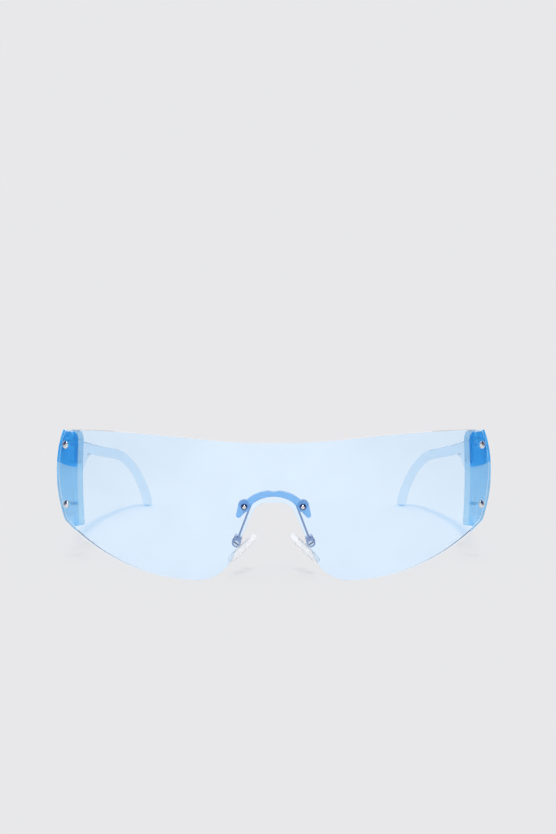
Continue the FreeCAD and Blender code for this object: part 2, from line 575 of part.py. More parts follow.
def neck_point(radius):
    """A point along the neck's rounds, after the given sum of their radii."""
    along = f"({radius} * sin(neck_turn))"
    down = f"({radius} * (1 - cos(neck_turn)))"
    return (f"({NECK} - {along} * cos(temple_slope) - {down} * sin(temple_slope))",
            f"({NECK_HEIGHT} + {along} * sin(temple_slope) - {down} * cos(temple_slope))")


NECK_MID, NECK_MID_HEIGHT = neck_point("neck_radius")
BELLY, BELLY_HEIGHT = neck_point("(neck_radius + belly_radius)")
ROOT = "(-temple_butt - blank_margin)"
ROOT_FOOT_HEIGHT = f"({BELLY_HEIGHT} + ({BELLY} + temple_butt) * tan(temple_slope))"
ROOT_CUT = "(root_corner_radius / tan(45 + temple_slope / 2))"
BAND_END = f"({TIP_BACK} + blank_margin)"
BAND_RUN = f"({BAND_END} - temple_straight)"
TIP_RUN = f"({TIP_BACK} - temple_straight)"
INNER_BOW = f"(temple_bend_radius - sqrt(temple_bend_radius ^ 2 - {TIP_RUN} ^ 2) - temple_thinning)"
INNER_BEND = f"(({TIP_RUN} ^ 2 + {INNER_BOW} ^ 2) / (2 * {INNER_BOW}))"


def bowed_face(start, bend):
    """Where a face of the bowed band is at its uncut end; it leaves the straight run at start."""
    return f"({start} - {bend} + sqrt({bend} ^ 2 - {BAND_RUN} ^ 2))"


temple_plan = sketch_on(temple, "temple_plan", "XY_Plane", ("0", HINGE_Y, "0"))
outline(temple_plan, [
    (INNER_X, ROOT),
    (f"{OUTER_X} - root_taper", ROOT),
    (OUTER_X, "temple_straight"),
    (bowed_face(OUTER_X, "temple_bend_radius"), BAND_END, "temple_bend_radius", 1),
    (bowed_face(INNER_X, INNER_BEND), BAND_END),
    (INNER_X, "temple_straight", INNER_BEND, -1),
])
pad(temple, temple_plan, BLANK_HEIGHT)
temple_side = sketch_on(temple, "temple_side", "YZ_Plane", (HINGE_Y, "0", "0"))
box_outline(temple_side, f"{ROOT} - blank_margin", "-blank_margin",
            f"{BAND_END} + blank_margin", f"{BLANK_HEIGHT} + blank_margin")
outline(temple_side, [
    ("-temple_butt", TEMPLE_TOP),
    ("hook_start", HOOK_TOP_HEIGHT),
    (TIP_BACK, "tip_back_height", "hook_top_radius", -1),
    (FLAT_BACK, "0", TIP_RADIUS, -1),
    (FLAT_FRONT, "0"),
    (UNDER_TIP, UNDER_TIP_HEIGHT, "tip_under_radius", -1),
    (UNDER, UNDER_HEIGHT, "hook_under_radius", 1),
    (NECK, NECK_HEIGHT),
    (NECK_MID, NECK_MID_HEIGHT, "neck_radius", 1),
    (BELLY, BELLY_HEIGHT, "belly_radius", -1),
    (f"-temple_butt + {ROOT_CUT} * cos(temple_slope)",
     f"{ROOT_FOOT_HEIGHT} - {ROOT_CUT} * sin(temple_slope)"),
    ("-temple_butt", f"{ROOT_FOOT_HEIGHT} + {ROOT_CUT}", "root_corner_radius", -1),
])
cut_through(temple, temple_side)


def arm_side(face):
    """True for the inner and outer faces of the arm, straight or bowed."""
    if isinstance(face.Surface, Part.Plane):
        return abs(face.Surface.Axis.x) > 0.99
    return abs(face.Surface.Axis.z) > 0.99


round_edges(temple, "temple_edge_radius", arm_side)
temple_knuckle = sketch_on(temple, "temple_knuckle", "XY_Plane", (HINGE_X, HINGE_Y, TEMPLE_KNUCKLE_FOOT))
outline(temple_knuckle, [
    ("temple_offset + knuckle_root", "-knuckle_radius"),
    ("temple_offset + knuckle_root", "knuckle_radius"),
    ("0", "knuckle_radius"),
    ("-knuckle_radius", "0", "knuckle_radius", 1),
    ("0", "-knuckle_radius", "knuckle_radius", 1),
])
pad(temple, temple_knuckle, "temple_knuckle_height")
temple_hinge_hole = sketch_on(temple, "temple_hinge_hole", "XY_Plane")
circle(temple_hinge_hole, HINGE_X, HINGE_Y, "hinge_shank_radius + turn_gap")
cut_through(temple, temple_hinge_hole)

# Bridge bar: moulded arch behind the lens, curved to it in front and flat behind
bar = new_body("bridge_bar")
BAR_DEPTH = "(lens_thickness + bar_thickness)"
BAR_REACH = f"({BRIDGE_X} + tail_reach + tail_radius * 2)"
BAR_CORNER_Y = f"({AXIS_Y} - sqrt({PLATE_FRONT} ^ 2 - {BAR_REACH} ^ 2))"
BAR_BACK_Y = f"({BAR_DEPTH} - front_setback)"
bar_plan = sketch_on(bar, "bar_plan", "XY_Plane")
outline(bar_plan, [
    (f"-{BAR_REACH}", BAR_CORNER_Y),
    (BAR_REACH, BAR_CORNER_Y, PLATE_FRONT, 1),
    (BAR_REACH, BAR_BACK_Y),
    (f"-{BAR_REACH}", BAR_BACK_Y),
])
pad(bar, bar_plan, BLANK_HEIGHT)


def lug_point(turn):
    """A point on the round of the right lug, turned from straight up towards the outside."""
    return f"({BRIDGE_X} + lug_radius * sin({turn}))", f"({BRIDGE_HEIGHT} + lug_radius * cos({turn}))"


TAIL_X = f"({BRIDGE_X} + tail_reach)"
TAIL_HEIGHT = f"({BRIDGE_HEIGHT} - tail_drop)"
TAIL_LEAN = "atan(tail_reach / tail_drop)"
TAIL_OUTER = (f"({TAIL_X} + tail_radius * cos({TAIL_LEAN}))",
              f"({TAIL_HEIGHT} + tail_radius * sin({TAIL_LEAN}))")
TAIL_INNER = (f"({TAIL_X} - tail_radius * cos({TAIL_LEAN}))",
              f"({TAIL_HEIGHT} - tail_radius * sin({TAIL_LEAN}))")
TAIL_TIP = (f"({TAIL_X} + tail_radius * sin({TAIL_LEAN}))",
            f"({TAIL_HEIGHT} - tail_radius * cos({TAIL_LEAN}))")
ARCH_REACH = f"({BRIDGE_X} - lug_arch_gap)"
ARCH_RADIUS = f"(({ARCH_REACH} ^ 2 + bar_under_drop ^ 2) / (2 * bar_under_drop))"
ARCH_FOOT = "(notch_height + bar_under_rise - bar_under_drop)"


def across(point):
    """The same point on the left half."""
    return f"-{point[0]}", point[1]


SHOULDER = lug_point("lug_shoulder_turn")
LUG_OUT = lug_point("lug_out_turn")
LUG_FOOT = lug_point("lug_foot_turn")
LUG_IN = lug_point("lug_in_turn")
HUMP = ("bar_hump_reach", "notch_height + bar_hump_rise")
bar_front = front_sketch(bar, "bar_front", "0")
box_outline(bar_front, f"-{BAR_REACH} - blank_margin", "-blank_margin",
            f"{BAR_REACH} + blank_margin", f"{BLANK_HEIGHT} + blank_margin")
outline(bar_front, [
    ("0", "notch_height + bar_dip_rise"),
    (f"-{HUMP[0]}", HUMP[1]),
    (*across(SHOULDER), "bar_shoulder_radius", 1),
    (*across(LUG_OUT), "lug_radius", 1),
    across(TAIL_OUTER),
    (*across(TAIL_TIP), "tail_radius", 1),
    (*across(TAIL_INNER), "tail_radius", 1),
    across(LUG_FOOT),
    (*across(LUG_IN), "lug_radius", 1),
    (f"-{ARCH_REACH}", ARCH_FOOT),
    (ARCH_REACH, ARCH_FOOT, ARCH_RADIUS, -1),
    LUG_IN,
    (*LUG_FOOT, "lug_radius", 1),
    TAIL_INNER,
    (*TAIL_TIP, "tail_radius", 1),
    (*TAIL_OUTER, "tail_radius", 1),
    LUG_OUT,
    (*SHOULDER, "lug_radius", 1),
    (*HUMP, "bar_shoulder_radius", 1),
])
cut_through(bar, bar_front)


def bar_back(face):
    """True for the flat back of the bar."""
    return isinstance(face.Surface, Part.Plane) and abs(face.Surface.Axis.y) > 0.99


round_edges(bar, "bar_rim_radius", bar_back)
bar_holes = front_sketch(bar, "bar_holes", "0")
for side in SIDES.values():
    circle(bar_holes, f"{side} * {BRIDGE_X}", BRIDGE_HEIGHT, "bridge_shank_radius + press_gap")
cut_through(bar, bar_holes)

# Bridge screws, sleeves and nuts: they clamp lens, bar and pad arms together, straight front to back
bridge_screws = new_body("bridge_screws")
bridge_bushes = new_body("bridge_bushes")
bridge_nuts = new_body("bridge_nuts")
BRIDGE_FLANGE = "(bridge_head_radius - bush_flange_lip)"


def lens_depth_at(radius, x):
    """How far a face of the lens lies behind the lens front at a distance from the middle."""
    return f"(lens_radius - sqrt({radius} ^ 2 - ({x}) ^ 2))"


BRIDGE_COLLAR = lens_depth_at("lens_radius", f"{BRIDGE_X} - {BRIDGE_FLANGE}")
BRIDGE_SLEEVE = lens_depth_at(LENS_BACK, f"{BRIDGE_X} - {BRIDGE_BUSH_RADIUS}")
BRIDGE_SEAT = f"({BRIDGE_COLLAR} - bush_flange)"
EYELET_FRONT = f"({BAR_DEPTH} + arm_seat)"
NUT_FRONT = f"({EYELET_FRONT} + arm_gauge + arm_seat)"
BRIDGE_TIP = f"({NUT_FRONT} + bridge_nut_height + bridge_screw_spare)"
HEX_CORNER = "(bridge_nut_flats / 2 / cos(30))"
for side_name, side in SIDES.items():
    base = (f"{side} * {BRIDGE_X}", "-front_setback", BRIDGE_HEIGHT)
    screw = sketch_on(bridge_screws, f"bridge_screw_{side_name}", "XY_Plane", base)
    outline(screw, [
        ("0", BRIDGE_TIP),
        ("0", f"{BRIDGE_SEAT} - bridge_head_height"),
        ("bridge_head_radius", BRIDGE_SEAT,
         "(bridge_head_radius ^ 2 + bridge_head_height ^ 2) / (2 * bridge_head_height)", 1),
        ("bridge_shank_radius", BRIDGE_SEAT),
        ("bridge_shank_radius", BRIDGE_TIP),
    ])
    revolve(bridge_screws, screw, "V_Axis")
    bush = sketch_on(bridge_bushes, f"bridge_bush_{side_name}", "XY_Plane", base)
    outline(bush, [
        ("bridge_shank_radius + turn_gap", BRIDGE_SEAT),
        (BRIDGE_FLANGE, BRIDGE_SEAT),
        (BRIDGE_FLANGE, BRIDGE_COLLAR),
        (BRIDGE_BUSH_RADIUS, BRIDGE_COLLAR),
        (BRIDGE_BUSH_RADIUS, BRIDGE_SLEEVE),
        ("bridge_shank_radius + turn_gap", BRIDGE_SLEEVE),
    ])
    revolve(bridge_bushes, bush, "V_Axis")
    nut = front_sketch(bridge_nuts, f"bridge_nut_{side_name}", NUT_FRONT,
                       f"{side} * {BRIDGE_X}", BRIDGE_HEIGHT)
    outline(nut, [
        (f"{HEX_CORNER} * cos({angle})", f"{HEX_CORNER} * sin({angle})") for angle in range(0, 360, 60)
    ])
    circle(nut, "0", "0", "bridge_shank_radius + press_gap")
    pad(bridge_nuts, nut, "bridge_nut_height", towards_back=True)

# Pad arm: strip metal from an eyelet on the bridge screw, edge-on down the notch, to the pad box
arm = new_body("right_pad_arm")
ARM_OFFSET = f"({HEX_CORNER} + arm_nut_gap + arm_gauge / 2)"
PIVOT_X = f"({BRIDGE_X} - {ARM_OFFSET} * cos(arm_lean) + arm_length * sin(arm_lean))"
PIVOT_HEIGHT = f"({BRIDGE_HEIGHT} - {ARM_OFFSET} * sin(arm_lean) - arm_length * cos(arm_lean))"
BOX_FRONT = f"({EYELET_FRONT} + box_step)"
BOX_DEPTH = "(ear_gauge * 2 + ear_gap)"
REAR_EAR = f"({BOX_FRONT} + ear_gauge + ear_gap)"
PIVOT_DEPTH = f"({BOX_FRONT} + {BOX_DEPTH} / 2)"
BOX_END = "(box_wall_start + box_wall_gauge)"
ARM_TOP = "(arm_length + arm_tab_half)"


def arm_sketch(name, depth):
    """A front sketch of the pad arm, from the pad pivot, with y up the strip."""
    return front_sketch(arm, name, depth, PIVOT_X, PIVOT_HEIGHT, "arm_lean")


arm_strip = arm_sketch("arm_strip", EYELET_FRONT)
box_outline(arm_strip, "-arm_gauge / 2", "box_wall_start", "arm_gauge / 2", ARM_TOP)
pad(arm, arm_strip, "arm_width", towards_back=True)
arm_tab = arm_sketch("arm_tab", EYELET_FRONT)
box_outline(arm_tab, "-arm_gauge / 2", "arm_length - arm_tab_half", ARM_OFFSET, ARM_TOP)
pad(arm, arm_tab, "arm_gauge", towards_back=True)
arm_eyelet = arm_sketch("arm_eyelet", EYELET_FRONT)
circle(arm_eyelet, ARM_OFFSET, "arm_length", "arm_eyelet_radius")
pad(arm, arm_eyelet, "arm_gauge", towards_back=True)
box_wall = arm_sketch("box_wall", BOX_FRONT)
box_outline(box_wall, "-ear_neck_half", "box_wall_start", "ear_neck_half", BOX_END)
pad(arm, box_wall, BOX_DEPTH, towards_back=True)
for ear_name, depth in {"front": BOX_FRONT, "rear": REAR_EAR}.items():
    ear_neck = arm_sketch(f"{ear_name}_ear_neck", depth)
    box_outline(ear_neck, "-ear_neck_half", "0", "ear_neck_half", BOX_END)
    pad(arm, ear_neck, "ear_gauge", towards_back=True)
    ear = arm_sketch(f"{ear_name}_ear", depth)
    circle(ear, "0", "0", "ear_radius")
    pad(arm, ear, "ear_gauge", towards_back=True)
arm_holes = arm_sketch("arm_holes", EYELET_FRONT)
circle(arm_holes, "0", "0", "pad_shank_radius + press_gap")
circle(arm_holes, ARM_OFFSET, "arm_length", "bridge_shank_radius + press_gap")
cut_through(arm, arm_holes)

# Pad screw: along the pivot, head in front
pad_screw = new_body("right_pad_screw")
screw = sketch_on(pad_screw, "pad_screw_profile", "XY_Plane", (PIVOT_X, "-front_setback", PIVOT_HEIGHT))
outline(screw, [
    ("0", f"{BOX_FRONT} + {BOX_DEPTH} + pad_screw_spare"),
    ("0", f"{BOX_FRONT} - pad_head_height"),
    ("pad_head_radius", f"{BOX_FRONT} - pad_head_height"),
    ("pad_head_radius", BOX_FRONT),
    ("pad_shank_radius", BOX_FRONT),
    ("pad_shank_radius", f"{BOX_FRONT} + {BOX_DEPTH} + pad_screw_spare"),
])
revolve(pad_screw, screw, "V_Axis")


def pad_sketch(body, name, offset, setback):
    """A sketch in the plane of a nose pad, at an offset from the pivot, with x down the pad and y back."""
    place = (f"{PIVOT_X} - ({offset}) * sin(pad_lean)",
             f"{PIVOT_DEPTH} - front_setback + {setback}",
             f"{PIVOT_HEIGHT} - ({offset}) * cos(pad_lean)")
    return sketch_on(body, name, "XY_Plane", place, (0, 1, 0), "pad_lean")


# Pad stem: plate seated in the pad's back, with a tongue up between the ears
stem = new_body("right_pad_stem")
core = pad_sketch(stem, "stem_core", "pad_gap", "0")
box_outline(core, "-core_half_length", "-core_half_width", "core_half_length", "core_half_width")
pad(stem, core, "core_thickness", towards_back=True)
TONGUE_THICKNESS = "(ear_gap - tongue_side_gap * 2)"
TONGUE_FRONT = f"({BOX_FRONT} + ear_gauge + tongue_side_gap)"
tongue = front_sketch(stem, "stem_tongue", TONGUE_FRONT, PIVOT_X, PIVOT_HEIGHT, "-pad_lean")
outline(tongue, [
    ("-tongue_radius", "-pad_gap - core_thickness / 2"),
    ("tongue_radius", "-pad_gap - core_thickness / 2"),
    ("tongue_radius", "0"),
    ("0", "tongue_radius", "tongue_radius", 1),
    ("-tongue_radius", "0", "tongue_radius", 1),
])
pad(stem, tongue, TONGUE_THICKNESS, towards_back=True)
stem_hole = front_sketch(stem, "stem_hole", TONGUE_FRONT, PIVOT_X, PIVOT_HEIGHT)
circle(stem_hole, "0", "0", "pad_shank_radius + turn_gap")
cut_through(stem, stem_hole)

# Nose pad: soft oval cushion with a recess for the stem plate
nose_pad = new_body("right_nose_pad")
PAD_END_RADIUS = "(pad_half_neck + pad_end_ease)"
PAD_SIDE_RADIUS = "((pad_half_straight ^ 2 + pad_side_bulge ^ 2) / (2 * pad_side_bulge))"
pad_oval = pad_sketch(nose_pad, "pad_oval", "pad_gap", "pad_setback")
outline(pad_oval, [
    ("pad_half_straight", "-pad_half_neck", PAD_SIDE_RADIUS, 1),
    ("pad_half_straight", "pad_half_neck", PAD_END_RADIUS, 1),
    ("-pad_half_straight", "pad_half_neck", PAD_SIDE_RADIUS, 1),
    ("-pad_half_straight", "-pad_half_neck", PAD_END_RADIUS, 1),
])
pad(nose_pad, pad_oval, "pad_thickness", towards_back=True)
round_edges(nose_pad, "pad_rim_radius", lambda face: isinstance(face.Surface, Part.Plane))
recess = pad_sketch(nose_pad, "pad_recess", "pad_gap", "0")
box_outline(recess, "-core_half_length - core_gap", "-core_half_width - core_gap",
            "core_half_length + core_gap", "core_half_width + core_gap")
cut_to_depth(nose_pad, recess, "core_thickness + core_gap")

RIGHT_PIECES = [plate, end_screws, end_bushes, hinge_screw, temple, arm, pad_screw, stem, nose_pad]
pieces = [lens, bar, bridge_screws, bridge_bushes, bridge_nuts]
for piece in RIGHT_PIECES:
    pieces.append(piece)
    pieces.append(mirrored(piece, piece.Label.replace("right_", "left_")))
doc.recompute()

faults = [item.Label for item in doc.Objects if "Invalid" in item.State or "Error" in item.State]
for piece in pieces:
    if piece.Shape.isNull() or not piece.Shape.isValid():
        faults.append(piece.Label)
if faults:
    raise ValueError("not sound: " + ", ".join(faults))

os.makedirs("parts", exist_ok=True)
for piece in pieces:
    piece.Shape.exportStep(f"parts/{piece.Label}.step")
    box = piece.Shape.BoundBox
    print(f"{piece.Label}: {len(piece.Shape.Solids)} solid(s), {piece.Shape.Volume:.1f} mm3, "
          f"X {box.XMin:.1f} {box.XMax:.1f}, Y {box.YMin:.1f} {box.YMax:.1f}, "
          f"Z {box.ZMin:.1f} {box.ZMax:.1f}")
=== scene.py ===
import math

import bmesh
import bpy
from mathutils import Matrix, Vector


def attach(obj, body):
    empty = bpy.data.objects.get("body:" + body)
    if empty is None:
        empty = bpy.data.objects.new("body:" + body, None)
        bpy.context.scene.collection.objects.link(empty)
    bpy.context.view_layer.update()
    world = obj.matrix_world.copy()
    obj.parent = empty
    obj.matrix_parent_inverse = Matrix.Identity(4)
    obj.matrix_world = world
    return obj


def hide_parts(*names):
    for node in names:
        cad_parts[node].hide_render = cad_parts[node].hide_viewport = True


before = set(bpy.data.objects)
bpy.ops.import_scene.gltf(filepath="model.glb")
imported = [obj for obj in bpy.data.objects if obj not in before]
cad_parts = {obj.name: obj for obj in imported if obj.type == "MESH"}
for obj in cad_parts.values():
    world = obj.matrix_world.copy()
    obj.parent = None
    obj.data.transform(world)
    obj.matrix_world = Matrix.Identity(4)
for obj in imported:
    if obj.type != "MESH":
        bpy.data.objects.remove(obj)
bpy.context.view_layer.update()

# Shield lens: one sheet of clear pale-blue polycarbonate, rolled round an upright axis. Its outline
# is cut and polished after rolling, and six holes are drilled for the sleeves of its screws.
MM = 0.001
LENS_RADIUS = 93.0
LENS_WALL = 2.0
LENS_FRONT_Y = -77.33
LENS_AXIS_Y = LENS_FRONT_Y + LENS_RADIUS
LENS_EDGE = 0.07
LENS_EDGE_TURN = math.radians(35)
LENS_SHARP = math.radians(50)
LENS_FACING = 0.98
LENS_STRIP = 1.0
BROW_CROWN = 46.4
BROW_CROWN_REACH = 48.0
BROW_DIP = 1.9
BROW_FALL_RADIUS = 202.0
BROW_STEPS = 60
NOTCH_TOP = 25.6
NOTCH_TOP_HALF = 2.07
NOTCH_CORNER = 5.0
NOTCH_LEAN = math.radians(23.5)
LOBE_RADIUS = 13.0
LOBE_FLAT = 2.0
END_TURN = math.radians(48.1)
END_SWEEP_RISE = 14.33
END_BULGE = 5.8
END_BOW = 5.2
END_STEPS = 30
END_SCREW_HEIGHTS = (20.3, 40.3)
END_HOLE_RADIUS = 1.02
BRIDGE_SCREW_X = 9.3003
BRIDGE_SCREW_Z = 24.3
BRIDGE_HOLE_RADIUS = 0.92
DRILL_DEPTH = 6.0
LENS_SKIN = (0.718, 0.848, 0.985)
LENS_SHADE = (0.975, 0.985, 0.995)


def arc_run(centre, radius, first, last, count):
    """Points along an arc in the front view, without its first point; angles in degrees."""
    points = []
    for step in range(1, count + 1):
        turn = math.radians(first + (last - first) * step / count)
        points.append((centre[0] + radius * math.cos(turn), centre[1] + radius * math.sin(turn)))
    return points


def straight_run(start, end, count):
    """Points along a straight edge, without its first point."""
    shares = [step / count for step in range(1, count + 1)]
    return [(start[0] + (end[0] - start[0]) * s, start[1] + (end[1] - start[1]) * s) for s in shares]


def meeting(gap, low, high):
    """The height between low and high at which gap changes sign."""
    for _ in range(60):
        middle = (low + high) / 2
        if gap(low) * gap(middle) <= 0:
            high = middle
        else:
            low = middle
    return (low + high) / 2


def brow_height(x):
    """The top edge: a shallow dip over the nose between two crowns, falling away to the ends."""
    dip_radius = ((BROW_CROWN_REACH / 2) ** 2 + (BROW_DIP / 2) ** 2) / BROW_DIP
    x = abs(x)
    if x < BROW_CROWN_REACH / 2:
        return BROW_CROWN - BROW_DIP + dip_radius - math.sqrt(dip_radius ** 2 - x ** 2)
    bow = dip_radius if x < BROW_CROWN_REACH else BROW_FALL_RADIUS
    return BROW_CROWN - bow + math.sqrt(bow ** 2 - (x - BROW_CROWN_REACH) ** 2)


def lens_half_outline():
    """The right half of the lens from the front, from the top of the notch round to the brow, in mm."""
    lean = math.degrees(NOTCH_LEAN)
    corner = (NOTCH_TOP_HALF, NOTCH_TOP - NOTCH_CORNER)
    side_top = arc_run(corner, NOTCH_CORNER, 90, lean, count=1)[0]
    side_foot_z = LOBE_RADIUS * (1 - math.sin(NOTCH_LEAN))
    side_foot = (side_top[0] + (side_top[1] - side_foot_z) * math.tan(NOTCH_LEAN), side_foot_z)
    lobe = (side_foot[0] + LOBE_RADIUS * math.cos(NOTCH_LEAN), LOBE_RADIUS)
    sweep_x = lobe[0] + LOBE_FLAT
    span = LENS_RADIUS * math.sin(END_TURN) - sweep_x
    sweep = (span ** 2 + END_SWEEP_RISE ** 2) / (2 * END_SWEEP_RISE)
    rise = (BROW_CROWN - END_SWEEP_RISE) / 2
    bow = (rise ** 2 + END_BOW ** 2) / (2 * END_BOW)
    middle = (BROW_CROWN + END_SWEEP_RISE) / 2

    def end_x(z):
        past = END_BULGE - bow + math.sqrt(bow ** 2 - (z - middle) ** 2)
        return LENS_RADIUS * math.sin(END_TURN + math.asin(past / LENS_RADIUS))

    def sweep_gap(z):
        return sweep - math.sqrt(sweep ** 2 - (end_x(z) - sweep_x) ** 2) - z

    low = meeting(sweep_gap, low=9.0, high=26.0)
    high = meeting(lambda z: brow_height(end_x(z)) - z, low=36.0, high=51.0)
    sweep_end = 270 + math.degrees(math.asin((end_x(low) - sweep_x) / sweep))
    end_heights = [low + (high - low) * step / END_STEPS for step in range(1, END_STEPS + 1)]
    brow_reaches = [end_x(high) * (1 - step / BROW_STEPS) for step in range(1, BROW_STEPS + 1)]
    points = [(0.0, NOTCH_TOP), (NOTCH_TOP_HALF, NOTCH_TOP)]
    points += arc_run(corner, NOTCH_CORNER, 90, lean, count=14)
    points += straight_run(side_top, side_foot, count=14)
    points += arc_run(lobe, LOBE_RADIUS, 180 + lean, 270, count=22)
    points += [(sweep_x, 0.0)]
    points += arc_run((sweep_x, sweep), sweep, 270, sweep_end, count=48)
    points += [(end_x(z), z) for z in end_heights]
    points += [(x, brow_height(x)) for x in brow_reaches]
    return points


def mesh_of(name, work):
    """Ends the work on a shape, and returns it as a mesh."""
    mesh = bpy.data.meshes.new(name)
    work.to_mesh(mesh)
    work.free()
    return mesh


def flat_sheet(name, outline, strip):
    """A flat cut sheet seen from the front, sliced into upright strips so that it can be rolled."""
    sheet = bmesh.new()
    sheet.faces.new([sheet.verts.new((x * MM, 0.0, z * MM)) for x, z in outline])
    low = min(x for x, _ in outline)
    count = int((max(x for x, _ in outline) - low) / strip)
    for step in range(1, count + 1):
        everything = sheet.verts[:] + sheet.edges[:] + sheet.faces[:]
        cut = ((low + step * strip) * MM, 0, 0)
        bmesh.ops.bisect_plane(sheet, geom=everything, plane_co=cut, plane_no=(1, 0, 0))
    bmesh.ops.remove_doubles(sheet, verts=sheet.verts[:], dist=1e-7)
    for face in sheet.faces:
        if face.normal.y > 0:
            face.normal_flip()
    return mesh_of(name, sheet)


def end_screw_places(reach, size):
    """A mark for each end screw at a reach from the lens axis, facing outwards."""
    places = []
    for side in (-1, 1):
        way = (side * math.sin(END_TURN), -math.cos(END_TURN), 0.0)
        for height in END_SCREW_HEIGHTS:
            places.append(((way[0] * reach, LENS_AXIS_Y + way[1] * reach, height), way, size))
    return places


def bridge_screw_places(y, size):
    """A mark for each bridge screw, facing the front."""
    return [((side * BRIDGE_SCREW_X, y, BRIDGE_SCREW_Z), (0, -1, 0), size) for side in (-1, 1)]


def marks(name, places):
    """Points that carry a direction and a size each, for holes and for screws; places in millimetres."""
    mesh = bpy.data.meshes.new(name)
    mesh.from_pydata([[c * MM for c in place] for place, _, _ in places], [], [])
    facing = mesh.attributes.new("facing", "FLOAT_VECTOR", "POINT")
    facing.data.foreach_set("vector", [c for _, way, _ in places for c in way])
    size = mesh.attributes.new("size", "FLOAT", "POINT")
    size.data.foreach_set("value", [number * MM for _, _, number in places])
    return bpy.data.objects.new(name, mesh)


def add_node(tree, kind, inputs, **settings):
    """Adds a node with its settings. Each input is fed from another socket, or set to a plain value."""
    added = tree.nodes.new(kind)
    for name, setting in settings.items():
        setattr(added, name, setting)
    for key, source in inputs.items():
        if isinstance(source, bpy.types.NodeSocket):
            tree.links.new(source, added.inputs[key])
        else:
            added.inputs[key].default_value = source
    return added


def sum_of(tree, operation, *parts):
    """One arithmetic step in a tree."""
    return add_node(tree, "ShaderNodeMath", dict(enumerate(parts)), operation=operation).outputs[0]


def parted(tree, vector):
    """The X, Y and Z of a vector."""
    return add_node(tree, "ShaderNodeSeparateXYZ", {0: vector}).outputs


def triple(tree, *parts):
    """A vector from its X, Y and Z."""
    return add_node(tree, "ShaderNodeCombineXYZ", dict(enumerate(parts))).outputs[0]


def carried(tree, name, kind):
    """An attribute that the points of a mesh carry."""
    return add_node(tree, "GeometryNodeInputNamedAttribute", {"Name": name}, data_type=kind).outputs[0]


def aimed(tree):
    """The turn that points a copy the way its mark faces."""
    way = carried(tree, "facing", "FLOAT_VECTOR")
    return add_node(tree, "FunctionNodeAlignRotationToVector", {"Vector": way}, axis="Z").outputs[0]


def shape_tree(name, sizes, pattern):
    """An empty tree of shapes with its named inputs: a mesh, sizes, a pattern object and a finish."""
    tree = bpy.data.node_groups.new(name, "GeometryNodeTree")
    named = [("Geometry", "Geometry"), *[(size, "Float") for size in sizes]]
    named += [(pattern, "Object"), ("Finish", "Material")]
    for label, kind in named:
        tree.interface.new_socket(label, in_out="INPUT", socket_type="NodeSocket" + kind)
    tree.interface.new_socket("Geometry", in_out="OUTPUT", socket_type="NodeSocketGeometry")
    return tree, tree.nodes.new("NodeGroupInput").outputs


def close_tree(tree, shape, finish):
    """Ends a tree of shapes: copies are made real and get their finish."""
    whole = add_node(tree, "GeometryNodeRealizeInstances", {0: shape}).outputs[0]
    coated = add_node(tree, "GeometryNodeSetMaterial", {"Geometry": whole, "Material": finish})
    add_node(tree, "NodeGroupOutput", {0: coated.outputs[0]})


def rolled_sheet_tree():
    """Rolls a flat sheet round an upright axis, gives it its wall, and drills its marked holes."""
    tree, given = shape_tree("rolled_sheet", ("Radius", "Wall", "Axis depth", "Drill depth"), "Hole marks")
    x, _, z = parted(tree, tree.nodes.new("GeometryNodeInputPosition").outputs[0])
    turn = sum_of(tree, "ARCSINE", sum_of(tree, "DIVIDE", x, given["Radius"]))
    sine = sum_of(tree, "SINE", turn)
    cosine = sum_of(tree, "COSINE", turn)
    inner = sum_of(tree, "SUBTRACT", given["Radius"], given["Wall"])
    y = sum_of(tree, "SUBTRACT", given["Axis depth"], sum_of(tree, "MULTIPLY", inner, cosine))
    outward = triple(tree, sine, sum_of(tree, "MULTIPLY", cosine, -1.0), 0.0)
    kept = add_node(tree, "GeometryNodeStoreNamedAttribute", {
        "Geometry": given["Geometry"], "Name": "outward", "Value": outward}, data_type="FLOAT_VECTOR")
    bent = add_node(tree, "GeometryNodeSetPosition", {
        "Geometry": kept.outputs[0], "Position": triple(tree, sum_of(tree, "MULTIPLY", inner, sine), y, z)})
    wall = add_node(tree, "GeometryNodeExtrudeMesh", {
        "Mesh": bent.outputs[0], "Offset": carried(tree, "outward", "FLOAT_VECTOR"),
        "Offset Scale": given["Wall"], "Individual": False}, mode="FACES")
    back = add_node(tree, "GeometryNodeFlipFaces", {0: bent.outputs[0]})
    both = tree.nodes.new("GeometryNodeJoinGeometry")
    for shell in (wall.outputs["Mesh"], back.outputs[0]):
        tree.links.new(shell, both.inputs[0])
    closed = add_node(tree, "GeometryNodeMergeByDistance", {"Geometry": both.outputs[0], "Distance": 1e-6})
    marked = add_node(tree, "GeometryNodeObjectInfo", {"Object": given["Hole marks"]})
    drill = add_node(tree, "GeometryNodeMeshCylinder", {"Vertices": 40, "Radius": 1.0, "Depth": 1.0})
    across = carried(tree, "size", "FLOAT")
    drills = add_node(tree, "GeometryNodeInstanceOnPoints", {
        "Points": marked.outputs["Geometry"], "Instance": drill.outputs["Mesh"], "Rotation": aimed(tree),
        "Scale": triple(tree, across, across, given["Drill depth"])})
    bores = add_node(tree, "GeometryNodeRealizeInstances", {0: drills.outputs[0]})
    drilled = add_node(tree, "GeometryNodeMeshBoolean", {0: closed.outputs[0], 1: bores.outputs[0]},
                       operation="DIFFERENCE", solver="EXACT")
    close_tree(tree, drilled.outputs[0], given["Finish"])
    return tree


def set_out(name, data):
    """A new object, placed in the scene."""
    piece = bpy.data.objects.new(name, data)
    bpy.context.scene.collection.objects.link(piece)
    return piece


